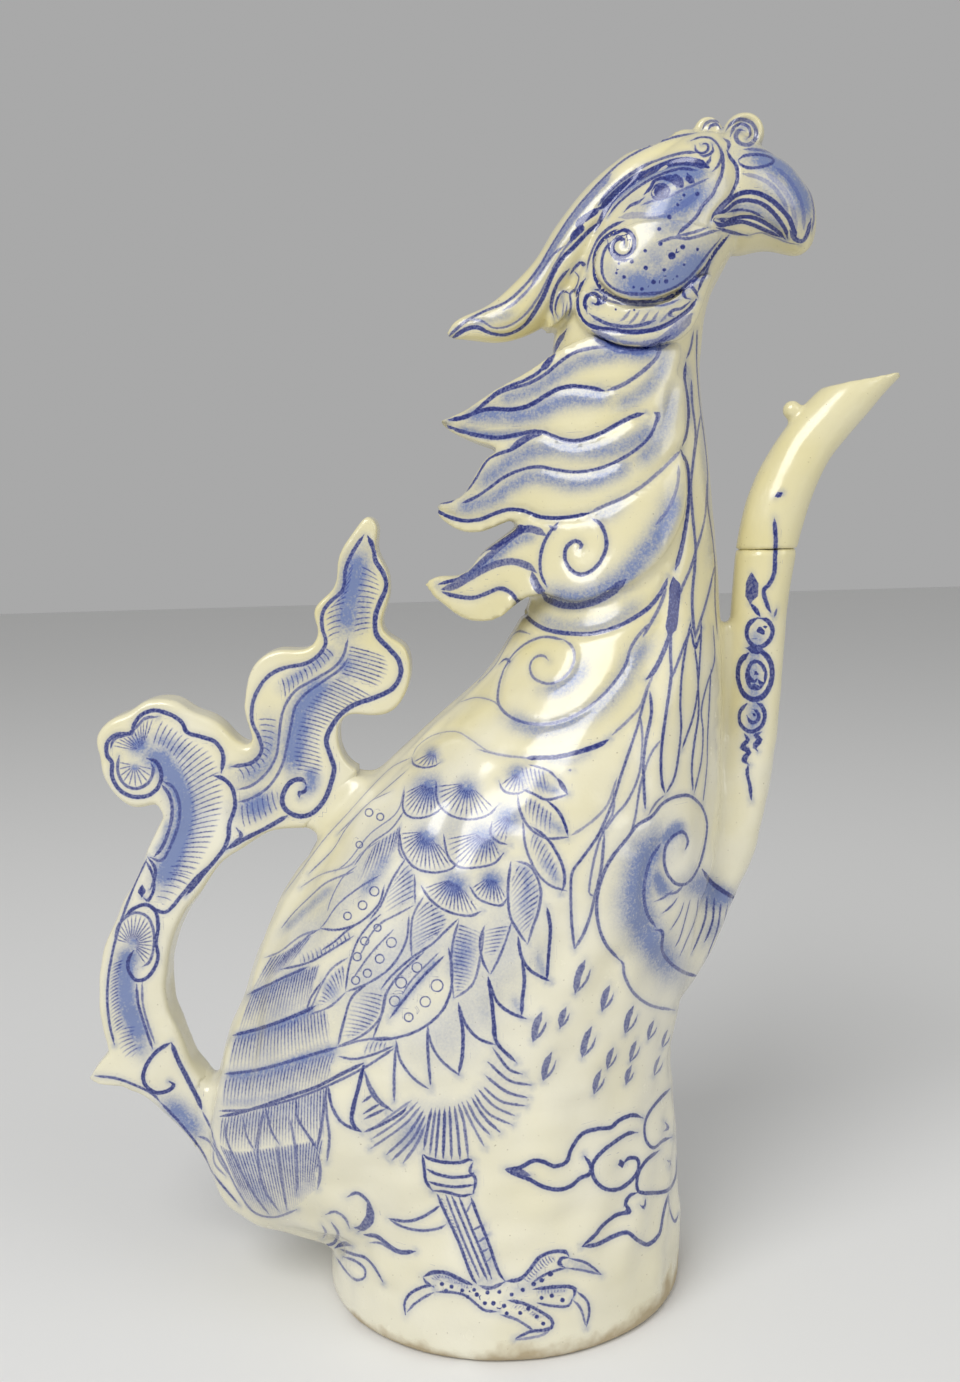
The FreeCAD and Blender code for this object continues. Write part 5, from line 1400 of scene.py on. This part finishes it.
rumpSheet["washes"] = {
    "strapBand": (5, 0.95, 290, 330, 264, 400, 254, 480, 262, 560, 290, 640, 330, 730),
    "strapBandFoot": (4.6, 0.8, 300, 700, 330, 770),
    "strapFootWash": (6, 0.8, 400, 940, 450, 980, 510, 1040, 560, 1090),
    "scrollFootWash": (4.6, 0.9, 420, -10, 400, 60, 380, 110),
    "tailWash1": (6, 0.4, 700, 1180, 780, 1300, 850, 1370),
    "tailWash2": (5, 0.4, 640, 1040, 760, 1020, 880, 980),
    "tailWash3": (6, 0.35, 880, 1150, 920, 1250),
}
rumpSheet["fans"] = {
    "strapFan": (22, 282, 330, 216, 330, 226, 262, 262, 222, 300, 206, 346, 226, 368, 286, 366, 350,
        350, 400, 320, 420),
}
rumpSheet["hatches"] = {
    "tailUpper": (36, [626, 1010, 760, 980, 900, 930, 1046, 884],
        [618, 1110, 690, 1140, 850, 1120, 1046, 1090]),
    "tailLower": (36, [618, 1112, 690, 1142, 850, 1122, 1040, 1092],
        [730, 1366, 800, 1392, 890, 1384, 1000, 1300]),
    "strapBarbs": (22, [252, 380, 234, 470, 236, 560, 256, 660],
        [204, 400, 192, 490, 196, 590, 212, 690]),
    "strapBarbsLow": (9, [300, 640, 290, 700, 320, 744], [236, 650, 226, 720, 262, 790]),
    "scrollFootBarbs": (8, [438, 0, 420, 60, 392, 120, 362, 164],
        [546, 12, 514, 66, 484, 110, 420, 186]),
}
tailSheet = {"corner": (60, 500), "zoom": 3.921, "brush": 0.85, "fade": 3}
tailSheet["lines"] = {
    "leafLeft": (1.1, 0.85, 1192, 136, 1150, 200, 1120, 270, 1110, 350, 1060, 398, 1030, 442, 1028,
        500, 1042, 560, 1010, 612, 960, 642, 880, 658, 820, 688, 778, 740, 754, 802, 754, 872, 780,
        930, 790, 984, 752, 1030, 668, 1046),
    "leafRight": (1.4, 0.9, 1206, 140, 1230, 190, 1238, 240, 1270, 290, 1280, 342, 1254, 402, 1236,
        462, 1242, 530, 1290, 582, 1330, 632, 1334, 690, 1300, 742, 1230, 776, 1160, 800, 1110, 832,
        1068, 882, 1044, 942, 1060, 1002, 1075, 1052, 1062, 1112, 1040, 1170, 1000, 1220, 950, 1240,
        900, 1226, 872, 1190, 880, 1140, 910, 1102, 948, 1096, 966, 1116),
    "leafCurl": (1, 0.9, 966, 1116, 960, 1144, 936, 1148, 940, 1170),
    "veinTop": (0.8, 0.75, 1130, 540, 1110, 612, 1070, 660, 1000, 702, 930, 742, 890, 792, 868, 852,
        858, 930, 848, 1002, 810, 1070, 750, 1120, 694, 1136),
    "veinLow": (0.8, 0.75, 1130, 620, 1100, 662, 1030, 712, 960, 762, 922, 812, 906, 882, 890, 962,
        870, 1042, 820, 1122, 750, 1170, 694, 1186),
    "bridgeLow": (1.3, 0.9, 896, 1236, 802, 1290, 722, 1330, 652, 1370),
    "bridgeNip": (1, 0.85, 690, 1284, 712, 1318, 676, 1344),
    "scrollOuter": (1.2, 0.9, 632, 1072, 640, 1002, 610, 950, 560, 930, 500, 912, 476, 870, 430,
        840, 370, 825, 320, 842, 290, 880, 280, 914, 222, 920, 186, 950, 184, 1000, 204, 1030, 204,
        1082, 230, 1132, 280, 1162, 340, 1160, 382, 1130, 398, 1080, 380, 1030, 340, 1012),
    "scrollRight": (1.2, 0.9, 600, 1080, 642, 1094, 676, 1132, 686, 1200, 664, 1270, 660, 1322, 640,
        1372, 600, 1422, 542, 1492, 492, 1552),
    "scrollLeft": (1, 0.85, 396, 1112, 430, 1160, 440, 1222, 428, 1292, 400, 1362, 366, 1402),
    "scrollLeftInner": (0.9, 0.8, 400, 1100, 446, 1130, 468, 1192, 466, 1262, 440, 1342, 400, 1412,
        350, 1400),
    "scrollFootCurl": (1, 0.85, 344, 1400, 372, 1442, 370, 1490, 352, 1530),
}
tailSheet["washes"] = {
    "leafTopWash": (6.5, 0.85, 1190, 190, 1160, 280, 1140, 370, 1126, 460, 1112, 540),
    "leafTopWash2": (4.5, 0.5, 1190, 330, 1180, 430, 1160, 530),
    "leafBellyWash": (6, 0.75, 1140, 590, 1120, 650, 1090, 700),
    "leafLowWash": (6, 0.9, 1070, 700, 990, 770, 944, 850, 926, 940, 916, 1020, 920, 1080),
    "leafCurlWash": (3.6, 0.8, 960, 1040, 990, 1100, 950, 1160),
    "leafWaistWash": (3.4, 0.55, 1080, 580, 1010, 640, 930, 690, 870, 740),
    "leafFootWash": (6, 0.6, 820, 860, 826, 950, 800, 1030, 740, 1080, 690, 1100),
    "bridgeWash": (6, 0.85, 690, 1220, 760, 1200, 850, 1160),
    "scrollWashBand": (6, 1, 320, 980, 390, 1020, 440, 1080, 480, 1160, 490, 1240, 472, 1330, 432,
        1420, 384, 1520),
    "scrollWashTop": (4.4, 0.55, 350, 930, 430, 960, 500, 1020),
    "scrollEyeWash": (3, 0.7, 280, 1040, 300, 1050),
    "scrollLeftWash": (2.2, 0.6, 430, 1250, 410, 1330, 372, 1394),
}
tailSheet["fans"] = {
    "scrollFanEye": (12, 292, 1040, 232, 1000, 226, 1060, 250, 1112, 296, 1132, 346, 1110, 366,
        1060, 356, 1030),
    "scrollFanTop": (14, 322, 986, 196, 980, 214, 936, 262, 920, 300, 890, 334, 856, 384, 850),
}
tailSheet["hatches"] = {
    "leafLow": (27, [1090, 690, 980, 790, 936, 880, 916, 1000, 930, 1070],
        [1240, 764, 1064, 872, 1022, 950, 1034, 1050, 1010, 1090]),
    "leafBelly": (10, [1136, 560, 1120, 640, 1096, 692], [1270, 600, 1290, 666, 1240, 744]),
    "leafTop": (14, [1186, 240, 1166, 350, 1156, 450, 1146, 540],
        [1240, 280, 1256, 352, 1222, 432, 1222, 520]),
    "leafTopLeft": (15, [1160, 220, 1136, 330, 1112, 430, 1096, 540],
        [1130, 270, 1102, 372, 1044, 440, 1052, 560]),
    "leafWaist": (14, [1090, 600, 1000, 684, 930, 730, 868, 790],
        [1050, 566, 966, 650, 894, 690, 850, 700]),
    "leafFoot": (14, [850, 840, 840, 940, 800, 1040, 700, 1110],
        [770, 840, 790, 930, 780, 1010, 680, 1060]),
    "bridgeBars": (9, [694, 1200, 762, 1172, 850, 1130], [702, 1292, 782, 1262, 872, 1206]),
    "scrollBarbs": (36, [350, 950, 430, 990, 484, 1090, 512, 1200, 500, 1300, 460, 1400, 420, 1500],
        [384, 852, 500, 930, 590, 990, 636, 1100, 636, 1220, 590, 1350, 490, 1530]),
}
tailSheet["carving"] = [
    (1.1, 0.3, "veinTop", "veinLow"),
    (1.5, 0.3, "leafRight", "leafLeft"),
    (1.4, 0.3, "scrollOuter", "scrollRight"),
]
spoutSheet = {"corner": (560, 340), "zoom": 2.8, "brush": 0.85, "fade": 3}
spoutSheet["lines"] = {
    "fleck": (1.7, 0.9, 603, 438, 612, 434, 622, 428),
    "tendrilTop": (1.2, 0.9, 600, 498, 604, 560, 602, 612, 600, 652, 586, 684, 570, 702, 580, 742,
        592, 766),
    "tendrilSide": (0.9, 0.8, 608, 750, 600, 776),
    "blob": (4, 0.85, 536, 656, 535, 700, 532, 736),
    "blobTail": (1.4, 0.95, 532, 736, 548, 756, 562, 776),
    "ballOne": (1.3, 0.95, 556, 776, 530, 794, 522, 822, 534, 850, 560, 860, 586, 842, 596, 812,
        582, 786, 558, 778),
    "ballOneEye": (4.4, 1, 560, 808, 566, 818),
    "linkOne": (2.6, 0.95, 522, 862, 546, 866, 572, 872),
    "ballTwo": (1.6, 0.95, 530, 874, 504, 902, 498, 942, 510, 986, 540, 1006, 570, 996, 590, 962,
        594, 920, 580, 886, 556, 872),
    "ballTwoInner": (1.1, 0.95, 520, 920, 528, 966, 554, 976, 574, 950, 572, 920, 554, 900, 534,
        906, 526, 934, 542, 956, 556, 944),
    "ballTwoEye": (2.2, 1, 548, 930, 554, 936),
    "ballThree": (1.2, 0.9, 526, 1016, 504, 1040, 504, 1074, 530, 1096, 560, 1086, 574, 1056, 566,
        1026, 546, 1014),
    "ballThreeInner": (1.1, 0.9, 522, 1050, 536, 1072, 556, 1062, 552, 1040, 538, 1034),
    "ballThreeEye": (2.6, 1, 542, 1048, 548, 1052),
    "fernRight": (1.3, 0.9, 566, 1096, 548, 1108, 562, 1122, 544, 1136, 554, 1152),
    "fernLeft": (1.3, 0.9, 514, 1100, 526, 1120, 508, 1140, 530, 1152, 514, 1174, 530, 1190),
    "tendrilFoot": (1, 0.9, 528, 1186, 524, 1214, 532, 1250, 536, 1290),
}
spoutSheet["washes"] = {
    "ballWash": (4.5, 0.6, 556, 800, 540, 900, 545, 1050, 530, 1130),
}

paint(body, bodyClay["voxel"], [maneSheet, breastSheet, wingSheet, legSheet, rumpSheet,
                                spoutSheet, headSheet, tailSheet])
paint(head, headClay["voxel"], [headSheet, maneSheet])
paint(tip, tipClay["voxel"], [spoutSheet])
paint(handle, handleClay["voxel"], [tailSheet, rumpSheet])
print("blue painted")

inkLook = {
    "edge": 0.22,  # millimetres from full ink to bare glaze
    "fineSpots": 2600, "fineGrain": 0.55, "coarseSpots": 420, "coarseGrain": 0.35,
    "lineGrain": 0.6, "barGrain": 0.5, "dabGrain": 0.4,
    "barHalf": 0.15, "barRise": 1.7, "barPatchy": 0.6, "barFill": 0.78,
    "ringHalf": 0.15, "ringStrength": 0.85,
}


def inked(finish):
    # Strength of the blue lines at a point
    fine, coarse = finish.noise(inkLook["fineSpots"], 2, 0.6), finish.noise(inkLook["coarseSpots"])
    grain = (fine - 0.5) * inkLook["fineGrain"] + (coarse - 0.5) * inkLook["coarseGrain"]

    def marks(kind):
        for place in range(brush[kind + "Layers"]):
            yield finish.split(finish.attribute(kind + str(place)))

    def sharp(depth):
        return (depth / inkLook["edge"] + 0.5).clamped()

    inks = []
    for aside, half, strength in marks("line"):
        inks.append(sharp(half + grain * inkLook["lineGrain"] - abs(aside)) * strength)
    for phase, inside, pitch in marks("hatch"):
        aside = abs(phase.step("FRACT") - 0.5)
        bar = sharp(inkLook["barHalf"] + grain * inkLook["barGrain"] - (0.5 - aside) * pitch)
        within = (inside * inkLook["barRise"] + inkLook["barHalf"]).clamped()
        inks.append(bar * within * (grain * inkLook["barPatchy"] + inkLook["barFill"]))
    for across, down, size in marks("dab"):
        apart = (across * across + down * down).step("SQRT")
        full = size.step("LESS_THAN", 0)
        ring = (inkLook["ringHalf"] - abs(apart - size)) * (1 - full)
        dot = (0 - size - apart) * full
        low = inkLook["ringStrength"]
        inks.append(sharp(ring + dot + grain * inkLook["dabGrain"]) * (full * (1 - low) + low))
    total = inks[0]
    for ink in inks[1:]:
        total = total.larger(ink)
    return total


glazeLook = {
    "creamAndShade": (0.680, 0.610, 0.310, 1), "white": (0.760, 0.730, 0.590, 1),
    "washAndShadowBlue": (0.090, 0.150, 0.370, 1), "inkPale": (0.060, 0.110, 0.430, 1),
    "inkDark": (0.006, 0.012, 0.130, 1), "speck": (0.16, 0.10, 0.05, 1),
    "worn": (0.330, 0.240, 0.120, 1),
    "patches": 38, "grain": 1700, "specks": 1500,  # these and all spots: how many to a metre
    "creamShadeFrom": 0.105, "creamShadeRun": 0.06,  # heights over which the glaze turns cream and the upper parts take a painted warm shade
    "creamShadeHigh": 0.55, "creamPatchy": 0.9, "creamShadeEdge": 1.6, "creamLeast": 0.35,
    "speckLeast": 0.74, "speckSharp": 14, "speckStrength": 0.5,
    "washSpots": 300, "washGrain": 2.2, "washPatchy": 0.8, "washClear": 0.2,
    "washStrength": 0.9,
    "inkGrain": 1.6, "inkLeast": 0.1, "coverGrain": 1.2, "coverLeast": 0.45,
    "rimHeight": 0.0045, "rimRun": 0.003, "rimEdge": 4, "rimSpots": 240, "rimGrain": 2,
    "rimBare": 0.75, "rimRough": 0.4,
    "rough": 0.16, "roughSpots": 210, "roughPatchy": 0.16,
    "dentSpots": 160, "dents": 0.7, "pitSpots": 900, "pits": 0.12,
    "bump": 0.35, "bumpDepth": 0.0006,
    "coat": 0.5, "coatRough": 0.12,
}


def paintedGlaze(name):
    finish = Finish(name)
    look = glazeLook
    height = finish.split(finish.place())[2]
    # Warm white below; above, the glaze's cream with a painted warm shade on the upper parts; cream
    # also in patches, with a few brown specks
    patches = finish.noise(look["patches"])
    # Painted warm shade: the colour turns darker and creamier with height, over the cream of the
    # glaze
    lift = (height - look["creamShadeFrom"]) / look["creamShadeRun"]
    creamAndShadeMix = (lift + (patches - 0.5) * look["creamShadeEdge"]).clamped() * look["creamShadeHigh"] \
        + (patches - look["creamLeast"]).clamped() * look["creamPatchy"]
    colour = finish.blend(creamAndShadeMix.clamped(), look["white"], look["creamAndShade"])
    specks = finish.noise(look["specks"], 1) - look["speckLeast"]
    specks = (specks * look["speckSharp"]).clamped() * look["speckStrength"]
    colour = finish.blend(specks, colour, look["speck"])
    # Thin blue washes under the lines, with the painted shadow under the collar among them
    grain = finish.noise(look["grain"], 3, 0.75)
    shade = finish.value(finish.attribute("wash", "Fac"))
    uneven = grain * look["washGrain"] + finish.noise(look["washSpots"]) * look["washPatchy"]
    shade = (shade * (uneven - look["washClear"])).clamped() * look["washStrength"]
    colour = finish.blend(shade, colour, look["washAndShadowBlue"])
    # Lines, darker where the pigment lies thick
    ink = inked(finish)
    thick = (ink * (grain * look["inkGrain"] + look["inkLeast"])).clamped()
    pigment = finish.blend(thick, look["inkPale"], look["inkDark"])
    cover = (ink * (grain * look["coverGrain"] + look["coverLeast"])).clamped()
    colour = finish.blend(cover, colour, pigment)
    # Bare, worn clay at the foot's rim
    rim = ((look["rimHeight"] - height) / look["rimRun"] + (patches - 0.5) * look["rimEdge"]
           + (finish.noise(look["rimSpots"]) - 0.5) * look["rimGrain"]).clamped()
    colour = finish.blend(rim * look["rimBare"], colour, look["worn"])
    relief = finish.noise(look["dentSpots"]) * look["dents"] \
        + finish.noise(look["pitSpots"], 2) * look["pits"]
    bump = finish.node("ShaderNodeBump", Strength=look["bump"], Distance=look["bumpDepth"],
                       Height=relief)
    rough = finish.noise(look["roughSpots"], 4) * look["roughPatchy"] + look["rough"]
    finish.shade(Base_Color=colour, Roughness=rough + rim * look["rimRough"],
                 Coat_Weight=look["coat"] - rim * look["coat"],
                 Coat_Roughness=look["coatRough"], Normal=bump.outputs[0])
    return finish.material


glaze = paintedGlaze("blueWhiteGlaze")
for piece in (body, head, tip, handle):
    piece.data.materials.clear()
    piece.data.materials.append(glaze)

# Floor and light
studio = {
    "floorSize": 6.0, "floorColour": (0.80, 0.80, 0.79, 1), "floorRough": 0.6,
    "sky": (0.9, 0.9, 0.9, 1), "skyStrength": 0.44,
    "target": (0, 0, 0.12),
    "lamps": {  # place, size and power
        "key": ((-0.5, -0.9, 1.0), 0.9, 13),
        "fill": ((0.9, -0.6, 0.6), 0.8, 3),
    },
}


def makeFloor():
    bm = bmesh.new()
    bmesh.ops.create_grid(bm, x_segments=1, y_segments=1, size=studio["floorSize"] / 2)
    mesh = bpy.data.meshes.new("floor")
    bm.to_mesh(mesh)
    bm.free()
    floor = bpy.data.objects.new("floor", mesh)
    bpy.context.scene.collection.objects.link(floor)
    finish = Finish("paleFloor")
    finish.shade(Base_Color=studio["floorColour"], Roughness=studio["floorRough"])
    mesh.materials.append(finish.material)
    floor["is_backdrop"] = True


def makeLamp(name, place, size, power):
    light = bpy.data.lights.new(name, "AREA")
    light.shape = "DISK"
    light.size = size
    light.energy = power
    lamp = bpy.data.objects.new(name, light)
    aim = (Vector(studio["target"]) - Vector(place)).to_track_quat("-Z", "Y")
    lamp.matrix_world = Matrix.Translation(place) @ aim.to_matrix().to_4x4()
    bpy.context.scene.collection.objects.link(lamp)


def makeWorld():
    world = bpy.data.worlds.new("studio")
    world.use_nodes = True
    back = world.node_tree.nodes["Background"]
    back.inputs["Color"].default_value = studio["sky"]
    back.inputs["Strength"].default_value = studio["skyStrength"]
    bpy.context.scene.world = world


makeFloor()
makeWorld()
for name, lamp in studio["lamps"].items():
    makeLamp(name, *lamp)
makeCamera()
bpy.context.scene.view_settings.view_transform = "Standard"
print("studio made")

corners = [[list(corner) for corner in box] for box in (cadBox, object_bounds())]
